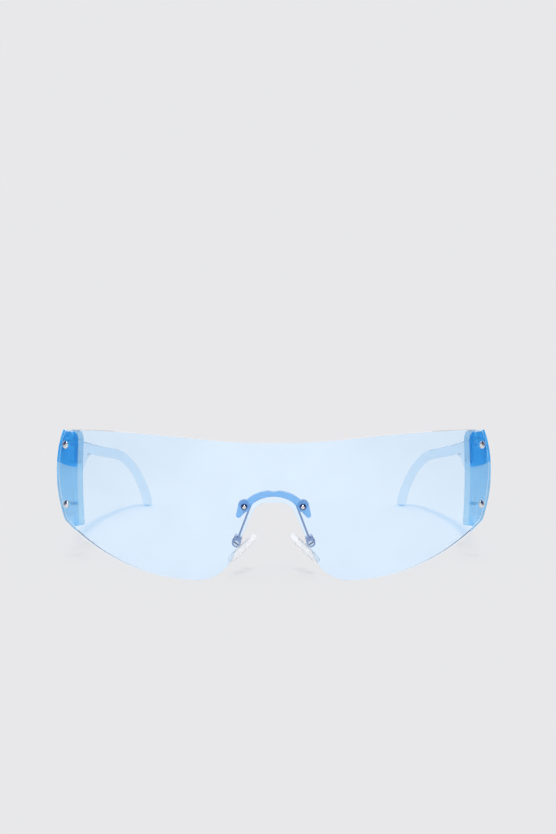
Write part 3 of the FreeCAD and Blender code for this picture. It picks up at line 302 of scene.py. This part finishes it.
def made_plain(name, blank):
    """The plain mesh of an object with its modifiers worked in. The object itself is taken away."""
    graph = bpy.context.evaluated_depsgraph_get()
    mesh = bpy.data.meshes.new_from_object(blank.evaluated_get(graph), depsgraph=graph)
    blank.modifiers.clear()
    bpy.data.objects.remove(blank)
    mesh.name = name
    return mesh


def worked(name, mesh, tree, settings):
    """Runs a mesh through a tree with the named settings, and returns the finished plain mesh."""
    blank = set_out(name + "_blank", mesh)
    step = blank.modifiers.new(tree.name, "NODES")
    step.node_group = tree
    for socket in tree.interface.items_tree:
        if socket.in_out == "INPUT" and socket.name in settings:
            step[socket.identifier] = settings[socket.name]
    return made_plain(name, blank)


def mapped(tree, value, low, high, first=0.0, last=1.0):
    """Takes a value between low and high to one between first and last."""
    ends = dict(enumerate((value, low, high, first, last)))
    return add_node(tree, "ShaderNodeMapRange", ends).outputs["Result"]


def either_surface(tree, share, first, second):
    """The first surface where share is 0, and the second where it is 1."""
    return add_node(tree, "ShaderNodeMixShader", {0: share, 1: first, 2: second}).outputs[0]


def blank_finish(name):
    """A new material with an empty tree."""
    material = bpy.data.materials.new(name)
    material.use_nodes = True
    material.node_tree.nodes.clear()
    return material


def clear_plastic(name, skin, shade, gloss, bend, clear, varnish=0.5, soak=None, straight=()):
    """See-through plastic with a skin colour, polished to between two roughnesses, with a faint ripple.
    Lamps shine through each of its faces in its shade, and the part of it that is not clear is milky.
    soak is the colour that white light keeps inside it, and after how many mm. straight names further
    rays that pass through it in its shade."""
    material = blank_finish(name)
    tree = material.node_tree
    place = tree.nodes.new("ShaderNodeTexCoord").outputs["Object"]
    cloud = add_node(tree, "ShaderNodeTexNoise", {"Vector": place, "Scale": 90.0, "Detail": 3.0})
    haze = cloud.outputs["Fac"]
    dye = add_node(tree, "ShaderNodeValToRGB", {"Fac": haze}, name="dye")
    for stop, position, depth in zip(dye.color_ramp.elements, (0.3, 0.7), (0.97, 1.0)):
        stop.position = position
        stop.color = (*[part * depth for part in skin], 1.0)
    flow = add_node(tree, "ShaderNodeTexNoise", {"Vector": place, "Scale": 260.0, "Detail": 1.0})
    ripple = add_node(tree, "ShaderNodeBump", {
        "Strength": 0.03, "Distance": 0.00005, "Height": flow.outputs["Fac"]})
    body = add_node(tree, "ShaderNodeBsdfPrincipled", {
        "Base Color": dye.outputs["Color"], "Roughness": mapped(tree, haze, 0.3, 0.7, *gloss),
        "IOR": bend, "Transmission Weight": clear, "Coat Weight": varnish, "Coat Roughness": 0.04,
        "Normal": ripple.outputs["Normal"]}, name="body")
    through = add_node(tree, "ShaderNodeBsdfTransparent", {"Color": (*shade, 1.0)}).outputs[0]
    path = tree.nodes.new("ShaderNodeLightPath").outputs
    surface = body.outputs[0]
    for ray in (*straight, "Is Diffuse Ray", "Is Shadow Ray"):
        surface = either_surface(tree, path[ray], surface, through)
    whole = add_node(tree, "ShaderNodeOutputMaterial", {"Surface": surface})
    if soak:
        left, after = soak
        loss = [-math.log(part) / (after * MM) for part in left]
        dark = add_node(tree, "ShaderNodeVolumeAbsorption", {
            "Density": max(loss), "Color": (*[1 - part / max(loss) for part in loss], 1.0)})
        tree.links.new(dark.outputs[0], whole.inputs["Volume"])
    return material


half = lens_half_outline()
lens_blank = flat_sheet("lens_blank", half[:-1] + [(-x, z) for x, z in reversed(half[1:])], LENS_STRIP)
lens_hole_marks = marks("lens_hole_marks", [
    *bridge_screw_places(LENS_FRONT_Y + LENS_WALL / 2, BRIDGE_HOLE_RADIUS),
    *end_screw_places(LENS_RADIUS - LENS_WALL / 2, END_HOLE_RADIUS)])
lens_finish = clear_plastic("lens_polycarbonate", LENS_SKIN, LENS_SHADE, gloss=(0.0, 0.01), bend=1.42,
                            clear=1.0, varnish=0.05, straight=("Is Reflection Ray",))
lens_mesh = worked("shield_lens_sheet", lens_blank, rolled_sheet_tree(), {
    "Radius": LENS_RADIUS * MM, "Wall": LENS_WALL * MM, "Axis depth": LENS_AXIS_Y * MM,
    "Drill depth": DRILL_DEPTH * MM, "Hole marks": lens_hole_marks, "Finish": lens_finish})
bpy.data.objects.remove(lens_hole_marks)
lens_blank = set_out("lens_blank", lens_mesh)
lens_edge = lens_blank.modifiers.new("polished_edge", "BEVEL")
lens_edge.width = LENS_EDGE * MM
lens_edge.segments = 2
lens_edge.limit_method = "ANGLE"
lens_edge.angle_limit = LENS_EDGE_TURN
lens_mesh = made_plain("shield_lens_sheet", lens_blank)
lens_mesh.shade_smooth()
lens_mesh.set_sharp_from_angle(angle=LENS_SHARP)
rolled_normals = [Vector(corner.vector) for corner in lens_mesh.corner_normals]
for face in lens_mesh.polygons:
    outward = Vector((face.center.x, face.center.y - LENS_AXIS_Y * MM, 0)).normalized()
    if abs(face.normal.dot(outward)) > LENS_FACING:
        for corner in face.loop_indices:
            point = lens_mesh.vertices[lens_mesh.loops[corner].vertex_index].co
            radial = Vector((point.x, point.y - LENS_AXIS_Y * MM, 0)).normalized()
            rolled_normals[corner] = radial if face.normal.dot(outward) > 0 else -radial
lens_mesh.normals_split_custom_set(rolled_normals)
lens = set_out("shield_lens_sheet", lens_mesh)
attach(lens, "front")
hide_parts("shield_lens")

# End plates: translucent blue mouldings that follow the back of the lens at its ends, each with two
# hinge knuckles behind it. Two screws through the lens hold each one. The face is dyed through, and
# above a curved foot at the hinge it is painted a deeper blue as shade from the hinge block behind it.
# The side is painted paler as painted light, and the back is nearly clear.
PLATE_SKIN = (0.27, 0.66, 1.0)
PLATE_PAINTED_DEEP_SHADE = (0.02, 0.37, 1.0)
PLATE_PAINTED_SIDE_LIGHT = (0.52, 0.82, 1.0)
PLATE_BACK = (0.86, 0.93, 1.0)
PLATE_SHADE = (0.86, 0.91, 0.97)
PLATE_SKIN_DEPTH = 89.7
PLATE_BACK_DEPTH = 87.4
PLATE_DEEP_FOOT = 33.1
PLATE_INNER_EDGE = 66.2
PLATE_DEEP_CURVE = 25.0
PLATE_FACING = 0.5


def product(tree, first, *others):
    """All parts multiplied together."""
    for other in others:
        first = sum_of(tree, "MULTIPLY", first, other)
    return first


def diagonal(tree, across, along):
    """The length of two steps at right angles."""
    squares = [sum_of(tree, "POWER", part, 2.0) for part in (across, along)]
    return sum_of(tree, "SQRT", sum_of(tree, "ADD", *squares))


def either_colour(tree, share, first, second):
    """The first colour where share is 0, and the second where it is 1."""
    return add_node(tree, "ShaderNodeMix", {"Factor": share, "A": first, "B": second},
                    data_type="RGBA").outputs["Result"]


def dress(finish, *nodes):
    """Gives CAD nodes their finish."""
    for node in nodes:
        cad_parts[node].data.materials[0] = finish


plate_finish = clear_plastic("plate_moulding", PLATE_SKIN, PLATE_SHADE, gloss=(0.12, 0.20), bend=1.01,
                             clear=0.66, varnish=0.1)
tree = plate_finish.node_tree
x, y, z = parted(tree, tree.nodes.new("ShaderNodeTexCoord").outputs["Object"])
lean_x, lean_y, _ = parted(tree, tree.nodes.new("ShaderNodeNewGeometry").outputs["Normal"])
past_axis = sum_of(tree, "SUBTRACT", y, LENS_AXIS_Y * MM)
reach = diagonal(tree, x, past_axis)
outward = sum_of(tree, "ADD", product(tree, x, lean_x), product(tree, past_axis, lean_y))
outward = sum_of(tree, "DIVIDE", outward, reach)
wide = sum_of(tree, "ABSOLUTE", x)
inner = sum_of(tree, "LESS_THAN", wide, PLATE_INNER_EDGE * MM)
facing = sum_of(tree, "GREATER_THAN", outward, PLATE_FACING)
across = sum_of(tree, "LESS_THAN", sum_of(tree, "ABSOLUTE", outward), PLATE_FACING)
front = product(tree, sum_of(tree, "GREATER_THAN", reach, PLATE_SKIN_DEPTH * MM),
                sum_of(tree, "MAXIMUM", facing, inner))
behind = sum_of(tree, "SUBTRACT", 1.0, front)
# Painted light: the side wall, where it faces across, is painted paler than the face, as if the lamps lit
# it more.
painted_side_light = product(tree, sum_of(tree, "GREATER_THAN", reach, PLATE_BACK_DEPTH * MM), across, inner, behind)
# Painted shade: above a curved foot near the hinge, the face is painted a deeper blue for the hinge block
# and temple root that lie behind it.
past_edge = sum_of(tree, "SUBTRACT", wide, PLATE_INNER_EDGE * MM)
foot = product(tree, sum_of(tree, "POWER", past_edge, 2.0), PLATE_DEEP_CURVE)
foot = sum_of(tree, "ADD", foot, PLATE_DEEP_FOOT * MM)
painted_deep_shade = product(tree, front, sum_of(tree, "GREATER_THAN", z, foot))
tone = tree.nodes["dye"].outputs["Color"]
for share, colour in ((behind, PLATE_BACK), (painted_side_light, PLATE_PAINTED_SIDE_LIGHT), (painted_deep_shade, PLATE_PAINTED_DEEP_SHADE)):
    tone = either_colour(tree, share, tone, (*colour, 1.0))
tree.links.new(tone, tree.nodes["body"].inputs["Base Color"])
dress(plate_finish, "left_end_plate", "right_end_plate")

# End sleeves and bridge sleeves: clear nylon bushes, moulded with a thin flange. They line the lens
# holes under the screw heads and keep the metal off the lens.
SLEEVE_SKIN = (0.80, 0.91, 1.0)
sleeve_finish = clear_plastic("sleeve_nylon", SLEEVE_SKIN, LENS_SHADE, gloss=(0.10, 0.20), bend=1.15,
                              clear=0.7)
dress(sleeve_finish, "left_end_bushes", "right_end_bushes", "bridge_bushes")

# Screws: turned steel, chromed, with domed heads and a small cross recess. Four hold the end plates
# and two clamp the bridge bar, each with its shank in a sleeve. The bridge pair has a dark navy ring
# painted on the rim of each head as shade.
SCREW_CHROME = (0.80, 0.81, 0.83)
SCREW_GLOSS = (0.05, 0.12)
SCREW_AROUND = 40
SCREW_SHARP = math.radians(30)
SHANK_POINT = 0.8
THREAD_ROOT = 0.88
THREAD_RISE = (0.2, 0.6)
HEAD_EASE = 0.05
DOME_STEPS = 12
END_DOME = 0.9
END_SEAT = LENS_RADIUS + 0.2
BRIDGE_DOME = 0.65
BRIDGE_SEAT_Y = LENS_FRONT_Y + 0.176
BRIDGE_RIM = 0.62
BRIDGE_RIM_PAINTED_SHADE = (0.10, 0.15, 0.34)


def turned(name, profile, around):
    """A turned solid round the Z axis from (radius, height) points in mm; both ends lie on the axis."""
    work = bmesh.new()
    rings = []
    for radius, height in profile:
        if radius == 0:
            rings.append([work.verts.new((0, 0, height * MM))])
            continue
        ring = []
        for step in range(around):
            turn = 2 * math.pi * step / around
            point = (radius * math.cos(turn) * MM, radius * math.sin(turn) * MM, height * MM)
            ring.append(work.verts.new(point))
        rings.append(ring)
    for lower, upper in zip(rings, rings[1:]):
        for step in range(around):
            after = (step + 1) % around
            corners = []
            for corner in (lower[step % len(lower)], lower[after % len(lower)],
                           upper[after % len(upper)], upper[step % len(upper)]):
                if corner not in corners:
                    corners.append(corner)
            work.faces.new(corners)
    bmesh.ops.recalc_face_normals(work, faces=work.faces[:])
    return mesh_of(name, work)


def screw_profile(head, dome, shank, length, pitch):
    """Shank with a fine thread, a square seat under the head, and a dome; the seat is at height 0."""
    points = [(0.0, -length), (shank * SHANK_POINT, -length)]
    turns = int(length / pitch)
    for turn in range(turns):
        foot = -length + pitch * turn
        low, high = [foot + pitch * share for share in THREAD_RISE]
        points += [(shank * THREAD_ROOT, low), (shank, high)]
    ball = (head ** 2 + dome ** 2) / (2 * dome)
    points += [(shank, 0.0), (head - HEAD_EASE, 0.0), (head, HEAD_EASE)]
    for step in range(1, DOME_STEPS):
        radius = head * math.cos(math.pi / 2 * step / DOME_STEPS)
        points.append((radius, dome - ball + math.sqrt(ball ** 2 - radius ** 2)))
    return points + [(0.0, dome)]


def screw_set_tree():
    """Cuts the cross recess into one screw and sets a copy of it on every mark, facing outwards."""
    sizes = ("Recess reach", "Recess width", "Recess depth", "Dome height")
    tree, given = shape_tree("screw_set", sizes, "Screw")
    screw = add_node(tree, "GeometryNodeObjectInfo", {"Object": given["Screw"]})
    blade = add_node(tree, "GeometryNodeMeshCube", {"Size": triple(
        tree, given["Recess reach"], given["Recess width"], product(tree, given["Recess depth"], 2.0))})
    lift = triple(tree, 0.0, 0.0, given["Dome height"])
    cross = tree.nodes.new("GeometryNodeJoinGeometry")
    for quarter in (0.0, math.pi / 2):
        set_in = add_node(tree, "GeometryNodeTransform", {
            "Geometry": blade.outputs[0], "Translation": lift, "Rotation": (0.0, 0.0, quarter)})
        tree.links.new(set_in.outputs[0], cross.inputs[0])
    recessed = add_node(tree, "GeometryNodeMeshBoolean", {
        0: screw.outputs["Geometry"], 1: cross.outputs[0], "Self Intersection": True},
        operation="DIFFERENCE", solver="EXACT")
    stop = add_node(tree, "FunctionNodeRandomValue", {
        0: (0.0, 0.0, 0.0), 1: (0.0, 0.0, math.pi / 2), "Seed": 3}, data_type="FLOAT_VECTOR")
    tightened = add_node(tree, "FunctionNodeEulerToRotation", {0: stop.outputs[0]})
    twist = add_node(tree, "FunctionNodeRotateRotation", {0: aimed(tree), 1: tightened.outputs[0]},
                     rotation_space="LOCAL")
    screws = add_node(tree, "GeometryNodeInstanceOnPoints", {
        "Points": given["Geometry"], "Instance": recessed.outputs[0], "Rotation": twist.outputs[0]})
    close_tree(tree, screws.outputs[0], given["Finish"])
    return tree


def bright_metal(name, colour, gloss, grain, stretch):
    """Metal with a fine grain: roughness between two values, drawn out along one direction."""
    material = blank_finish(name)
    tree = material.node_tree
    place = tree.nodes.new("ShaderNodeTexCoord").outputs["Object"]
    drawn = add_node(tree, "ShaderNodeMapping", {"Vector": place, "Scale": stretch})
    lines = add_node(tree, "ShaderNodeTexNoise", {
        "Vector": drawn.outputs[0], "Scale": 2500.0, "Detail": 2.0}).outputs["Fac"]
    skin = add_node(tree, "ShaderNodeBump", {"Strength": grain, "Distance": 0.00002, "Height": lines})
    body = add_node(tree, "ShaderNodeBsdfPrincipled", {
        "Base Color": (*colour, 1.0), "Metallic": 1.0, "Normal": skin.outputs["Normal"],
        "Roughness": mapped(tree, lines, 0.3, 0.7, *gloss)}, name="body")
    add_node(tree, "ShaderNodeOutputMaterial", {"Surface": body.outputs[0]})
    return material


def off_centre(tree, centre):
    """How far out and how far up a point lies from a centre in mm that is mirrored left and right."""
    x, _, z = parted(tree, tree.nodes.new("ShaderNodeTexCoord").outputs["Object"])
    out = sum_of(tree, "SUBTRACT", sum_of(tree, "ABSOLUTE", x), centre[0] * MM)
    return out, sum_of(tree, "SUBTRACT", z, centre[1] * MM)


def tone_metal(tree, share, tone):
    """Gives a metal another tone where share is 1."""
    base = tree.nodes["body"].inputs["Base Color"]
    tree.links.new(either_colour(tree, share, base.default_value[:], (*tone, 1.0)), base)


def screw_set(name, nodes, places, profile, recess, dome, metal):
    """A group of like screws as one piece on the front; recess is its reach, width and depth in mm."""
    pattern = bpy.data.objects.new(name + "_pattern", turned(name + "_pattern", profile, SCREW_AROUND))
    places = marks(name + "_marks", places)
    mesh = worked(name, places.data, screw_tree, {
        "Screw": pattern, "Recess reach": recess[0] * MM, "Recess width": recess[1] * MM,
        "Recess depth": recess[2] * MM, "Dome height": dome * MM, "Finish": metal})
    mesh.shade_smooth()
    mesh.set_sharp_from_angle(angle=SCREW_SHARP)
    piece = set_out(name, mesh)
    bpy.data.objects.remove(places)
    bpy.data.objects.remove(pattern)
    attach(piece, "front")
    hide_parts(*nodes)


screw_tree = screw_set_tree()
screw_finish = bright_metal("screw_chrome", SCREW_CHROME, SCREW_GLOSS, grain=0.05, stretch=(1, 1, 1))
screw_set("end_screw_set", ("left_end_screws", "right_end_screws"), end_screw_places(END_SEAT, size=1.0),
          screw_profile(head=1.35, dome=END_DOME, shank=0.6, length=5.25, pitch=0.35),
          recess=(1.3, 0.3, 0.5), dome=END_DOME, metal=screw_finish)
rim_shaded_finish = bright_metal("chrome_with_painted_rim_shade", SCREW_CHROME, SCREW_GLOSS, grain=0.05, stretch=(1, 1, 1))
tree = rim_shaded_finish.node_tree
# Painted shade: a dark navy ring on the rim of each bridge screw head, out from a small bright centre.
away = diagonal(tree, *off_centre(tree, (BRIDGE_SCREW_X, BRIDGE_SCREW_Z)))
tone_metal(tree, sum_of(tree, "GREATER_THAN", away, BRIDGE_RIM * MM), BRIDGE_RIM_PAINTED_SHADE)
screw_set("bridge_screw_set", ("bridge_screws",), bridge_screw_places(BRIDGE_SEAT_Y, size=1.0),
          screw_profile(head=1.05, dome=BRIDGE_DOME, shank=0.5, length=6.55, pitch=0.3),
          recess=(1.0, 0.24, 0.4), dome=BRIDGE_DOME, metal=rim_shaded_finish)

# Hinge screws and bridge nuts: turned steel with a satin cut. The hinge screws stand upright through the
# knuckles of plate and temple, and the nuts close the bridge screws behind the bar.
TURNED_STEEL = (0.78, 0.79, 0.82)
turned_steel = bright_metal("turned_steel", TURNED_STEEL, gloss=(0.16, 0.32), grain=0.10, stretch=(1, 1, 6))
dress(turned_steel, "left_hinge_screw", "right_hinge_screw", "bridge_nuts")

# Temples: translucent blue injection mouldings with rounded edges, broad at the hinge and drooping to
# a slim ear hook. The middle knuckle at the front turns on the hinge screw.
TEMPLE_SKIN = (0.825, 0.92, 1.0)
TEMPLE_SHADE = (0.60, 0.80, 0.95)
TEMPLE_SOAK = ((0.96, 0.985, 1.0), 9.0)
temple_finish = clear_plastic("temple_moulding", TEMPLE_SKIN, TEMPLE_SHADE, gloss=(0.08, 0.14), bend=1.01,
                              clear=0.985, varnish=0.05, soak=TEMPLE_SOAK)
dress(temple_finish, "left_temple", "right_temple")

# Bridge bar: a translucent blue moulded arch behind the lens, over the nose notch, with a round lug and
# a short tail at each screw.
BAR_SKIN = (0.34, 0.66, 1.0)
bar_finish = clear_plastic("bar_moulding", BAR_SKIN, PLATE_SHADE, gloss=(0.30, 0.40), bend=1.1, clear=0.55)
dress(bar_finish, "bridge_bar")

# Pad arms: strip steel bent edge-on along the notch, with eased edges. Each runs from an eyelet that is
# clamped behind the bar to the small box that holds its pad.
ARM_STEEL = (0.36, 0.46, 0.70)
ARM_EDGE = 0.08
ARM_EDGE_TURN = math.radians(40)
ARM_MERGE = 0.001
arm_finish = bright_metal("strip_steel", ARM_STEEL, gloss=(0.06, 0.16), grain=0.12, stretch=(6, 6, 1))
dress(arm_finish, "left_pad_arm", "right_pad_arm")
for side in ("left", "right"):
    pad_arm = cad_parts[side + "_pad_arm"]
    merged = pad_arm.modifiers.new("merged", "WELD")
    merged.merge_threshold = ARM_MERGE * MM
    eased = pad_arm.modifiers.new("eased_edges", "BEVEL")
    eased.width = ARM_EDGE * MM
    eased.segments = 2
    eased.limit_method = "ANGLE"
    eased.angle_limit = ARM_EDGE_TURN

# Pad screws: turned steel, with a slot across the head that is painted dark as shade. Each passes through
# both ears of its box and the tongue of the stem between them, so that the pad can tilt.
PAD_SCREW_X = 11.9031
PAD_SCREW_Z = 11.7999
PAD_SLOT = 0.34
PAD_SLOT_TURN = math.radians(35)
PAD_SLOT_PAINTED_SHADE = (0.03, 0.05, 0.12)
PAD_SCREW_STEEL = (0.95, 0.96, 0.98)
steel_with_painted_slot_shade = bright_metal("steel_with_painted_slot_shade", PAD_SCREW_STEEL, gloss=(0.10, 0.20), grain=0.10,
                             stretch=(1, 6, 1))
tree = steel_with_painted_slot_shade.node_tree
# Painted shade: a dark band across the head stands in for the shade in its slot.
out, up = off_centre(tree, (PAD_SCREW_X, PAD_SCREW_Z))
off_slot = sum_of(tree, "SUBTRACT", product(tree, out, math.sin(PAD_SLOT_TURN)),
                  product(tree, up, math.cos(PAD_SLOT_TURN)))
painted_slot_shade = sum_of(tree, "LESS_THAN", sum_of(tree, "ABSOLUTE", off_slot), PAD_SLOT * MM / 2)
tone_metal(tree, painted_slot_shade, PAD_SLOT_PAINTED_SHADE)
dress(steel_with_painted_slot_shade, "left_pad_screw", "right_pad_screw")

# Pad stems: clear hard plastic cores, moulded first and then covered by the soft pads. The tongue of
# each stands out between the ears of the box.
STEM_SKIN = (0.93, 0.96, 1.0)
stem_finish = clear_plastic("stem_plastic", STEM_SKIN, LENS_SHADE, gloss=(0.05, 0.12), bend=1.2, clear=0.8)
dress(stem_finish, "left_pad_stem", "right_pad_stem")

# Nose pads: soft clear silicone cushions, crowned towards the nose. Each is moulded round the plate of
# its stem, which lies in a pocket in its back.
PAD_PIVOT_Y = LENS_FRONT_Y + 7.47
PAD_LEAN = math.radians(44.6)
PAD_GAP = 1.9
PAD_SETBACK = 0.75
PAD_HALF_LENGTH = 6.45
PAD_HALF_WIDTH = 3.38
PAD_TAPER = 0.25
PAD_SQUARENESS = 2.4
PAD_DEPTH = 2.2
PAD_POCKET = (3.45, 1.75, 0.95)
PAD_AROUND = 48
PAD_SHARP = math.radians(50)
PAD_SKIN = (0.98, 0.985, 1.0)
# Share of the outline against share of the depth, from the rim of the back to the crown.
PAD_CROWN = ((0.84, 0.0), (0.92, 0.03), (0.98, 0.15), (1.0, 0.36), (0.99, 0.58), (0.94, 0.75),
             (0.82, 0.885), (0.6, 0.96), (0.3, 0.99))
pad_finish = clear_plastic("pad_silicone", PAD_SKIN, LENS_SHADE, gloss=(0.30, 0.42), bend=1.06, clear=0.5,
                           varnish=0.2)


def nose_pad(side):
    """One cushion, lofted from the pocket for the stem round its rim to the crown on the nose side."""
    down = Vector((side * math.cos(PAD_LEAN), 0, -math.sin(PAD_LEAN)))
    to_pivot = Vector((side * math.sin(PAD_LEAN), 0, math.cos(PAD_LEAN)))
    pivot = Vector((side * PAD_SCREW_X, PAD_PIVOT_Y, PAD_SCREW_Z))
    turns = [2 * math.pi * step / PAD_AROUND for step in range(PAD_AROUND)]
    ways = [(math.cos(turn), math.sin(turn)) for turn in turns]

    def place(along, back, depth):
        return (pivot + down * along + Vector((0, back, 0)) - to_pivot * (PAD_GAP + depth)) * MM

    def oval(share, depth):
        width = PAD_HALF_WIDTH * share - PAD_TAPER * (1 - share)
        points = []
        for way in ways:
            reach = [math.copysign(abs(part) ** (2 / PAD_SQUARENESS), part) for part in way]
            points.append(place(PAD_HALF_LENGTH * share * reach[0], PAD_SETBACK + width * reach[1], depth))
        return points

    def pocket(depth):
        points = []
        for way in ways:
            scale = 1 / max(abs(way[0]), abs(way[1]))
            points.append(place(PAD_POCKET[0] * way[0] * scale, PAD_POCKET[1] * way[1] * scale, depth))
        return points

    rings = [pocket(PAD_POCKET[2]), pocket(0.0)]
    rings += [oval(share, depth * PAD_DEPTH) for share, depth in PAD_CROWN]
    work = bmesh.new()
    loops = [[work.verts.new(point) for point in ring] for ring in rings]
    floor = work.verts.new(place(0, 0, PAD_POCKET[2]))
    crown = work.verts.new(place(0, PAD_SETBACK, PAD_DEPTH))
    for step in range(PAD_AROUND):
        after = (step + 1) % PAD_AROUND
        for lower, upper in zip(loops, loops[1:]):
            work.faces.new((lower[step], lower[after], upper[after], upper[step]))
        work.faces.new((floor, loops[0][after], loops[0][step]))
        work.faces.new((crown, loops[-1][step], loops[-1][after]))
    bmesh.ops.recalc_face_normals(work, faces=work.faces[:])
    name = ("left" if side < 0 else "right") + "_pad_cushion"
    mesh = mesh_of(name, work)
    mesh.materials.append(pad_finish)
    mesh.shade_smooth()
    mesh.set_sharp_from_angle(angle=PAD_SHARP)
    return set_out(name, mesh)


for side_name, side in (("left", -1), ("right", 1)):
    cushion = nose_pad(side)
    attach(cushion, side_name + "_pad")
    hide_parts(side_name + "_nose_pad")

# Studio floor: a plain pale sheet that runs to the horizon. It is lit mostly from within, so that the
# shadows on it stay faint. In mirrors it is dark far to the sides, and through clear pieces it is white.
PAPER = (0.776, 0.776, 0.791)
BACKDROP = (0.807, 0.807, 0.823)
GLOW = 0.7
FLOOR_REACH = 40.0
FLOOR_DROP = 0.02
SIDES_START = 0.15
SIDES_FULL = 0.30
MIRRORED_DARK = (0.05, 0.08, 0.17)
sheet = bmesh.new()
bmesh.ops.create_grid(sheet, x_segments=1, y_segments=1, size=FLOOR_REACH)
floor_mesh = mesh_of("studio_floor", sheet)
floor = set_out("studio_floor", floor_mesh)
floor.location.z = -FLOOR_DROP * MM
paper = blank_finish("studio_paper")
tree = paper.node_tree
path = tree.nodes.new("ShaderNodeLightPath").outputs
x, _, _ = parted(tree, tree.nodes.new("ShaderNodeTexCoord").outputs["Object"])
sides = mapped(tree, sum_of(tree, "ABSOLUTE", x), SIDES_START, SIDES_FULL)
mirrored_sides = product(tree, sides, path["Is Glossy Ray"])
tone = either_colour(tree, mirrored_sides, (*PAPER, 1.0), (*MIRRORED_DARK, 1.0))
tone = either_colour(tree, path["Is Transmission Ray"], tone, (1.0, 1.0, 1.0, 1.0))
matt = add_node(tree, "ShaderNodeBsdfDiffuse", {"Color": tone}).outputs[0]
glow = add_node(tree, "ShaderNodeEmission", {"Color": (*BACKDROP, 1.0)}).outputs[0]
backlit = either_surface(tree, product(tree, path["Is Camera Ray"], GLOW), matt, glow)
add_node(tree, "ShaderNodeOutputMaterial", {"Surface": backlit})
floor_mesh.materials.append(paper)

# Studio light: even soft light from all round, a broad lamp overhead and a smaller one from the front.
# In mirrors the room is dark, with a bright wall behind the glasses and another in front of them.
AMBIENT = 0.60
MIRRORED_LIGHT = (0.95, 0.95, 0.97)
BACK_WALL_TILT = 0.5
BACK_WALL = (0.35, 0.60)
FRONT_WALL = (0.80, 0.90)
world = bpy.data.worlds.new("studio_world")
bpy.context.scene.world = world
world.use_nodes = True
sky = world.node_tree
sky.nodes.clear()
path = sky.nodes.new("ShaderNodeLightPath").outputs
_, back, up = parted(sky, sky.nodes.new("ShaderNodeTexCoord").outputs["Generated"])
to_back = sum_of(sky, "SUBTRACT", back, product(sky, up, BACK_WALL_TILT))
to_front = product(sky, back, -1.0)
walls = sum_of(sky, "MAXIMUM", mapped(sky, to_back, *BACK_WALL), mapped(sky, to_front, *FRONT_WALL))
room = either_colour(sky, walls, (*MIRRORED_DARK, 1.0), (*MIRRORED_LIGHT, 1.0))
even = add_node(sky, "ShaderNodeBackground", {"Color": (1.0, 1.0, 1.0, 1.0), "Strength": AMBIENT})
mirrored_room = add_node(sky, "ShaderNodeBackground", {"Color": room})
backdrop = add_node(sky, "ShaderNodeBackground", {"Color": (*BACKDROP, 1.0)})
light = either_surface(sky, path["Is Glossy Ray"], even.outputs[0], mirrored_room.outputs[0])
in_sight = sum_of(sky, "MAXIMUM", path["Is Camera Ray"], path["Is Transmission Ray"])
light = either_surface(sky, in_sight, light, backdrop.outputs[0])
add_node(sky, "ShaderNodeOutputWorld", {"Surface": light})
# Name, light on the floor, degrees above the floor and degrees of spread.
for name, share, rise, spread in (("overhead_lamp", 0.13, 80, 25), ("front_lamp", 0.31, 54.5, 5)):
    lamp = bpy.data.lights.new(name, "SUN")
    lamp.energy = share * math.pi / math.sin(math.radians(rise))
    lamp.angle = math.radians(spread)
    stand = set_out(name, lamp)
    stand.rotation_euler = (math.radians(90 - rise), 0, 0)

# Camera: a long lens in front of the glasses, a little above them. It looks slightly down, so that the
# temples show through the shield.
CAMERA_X = 1.4
CAMERA_Y = LENS_FRONT_Y - 550.0
CAMERA_Z = 114.0
CAMERA_DIP = 6.33
camera_data = bpy.data.cameras.new("photo_camera")
camera_data.lens = 75.9
camera_data.sensor_width = 36.0
camera_data.clip_start = 0.01
camera = set_out("photo_camera", camera_data)
camera.location = (CAMERA_X * MM, CAMERA_Y * MM, CAMERA_Z * MM)
camera.rotation_euler = (math.radians(90 - CAMERA_DIP), 0, 0)
bpy.context.scene.camera = camera
bpy.context.scene.view_settings.view_transform = "Standard"
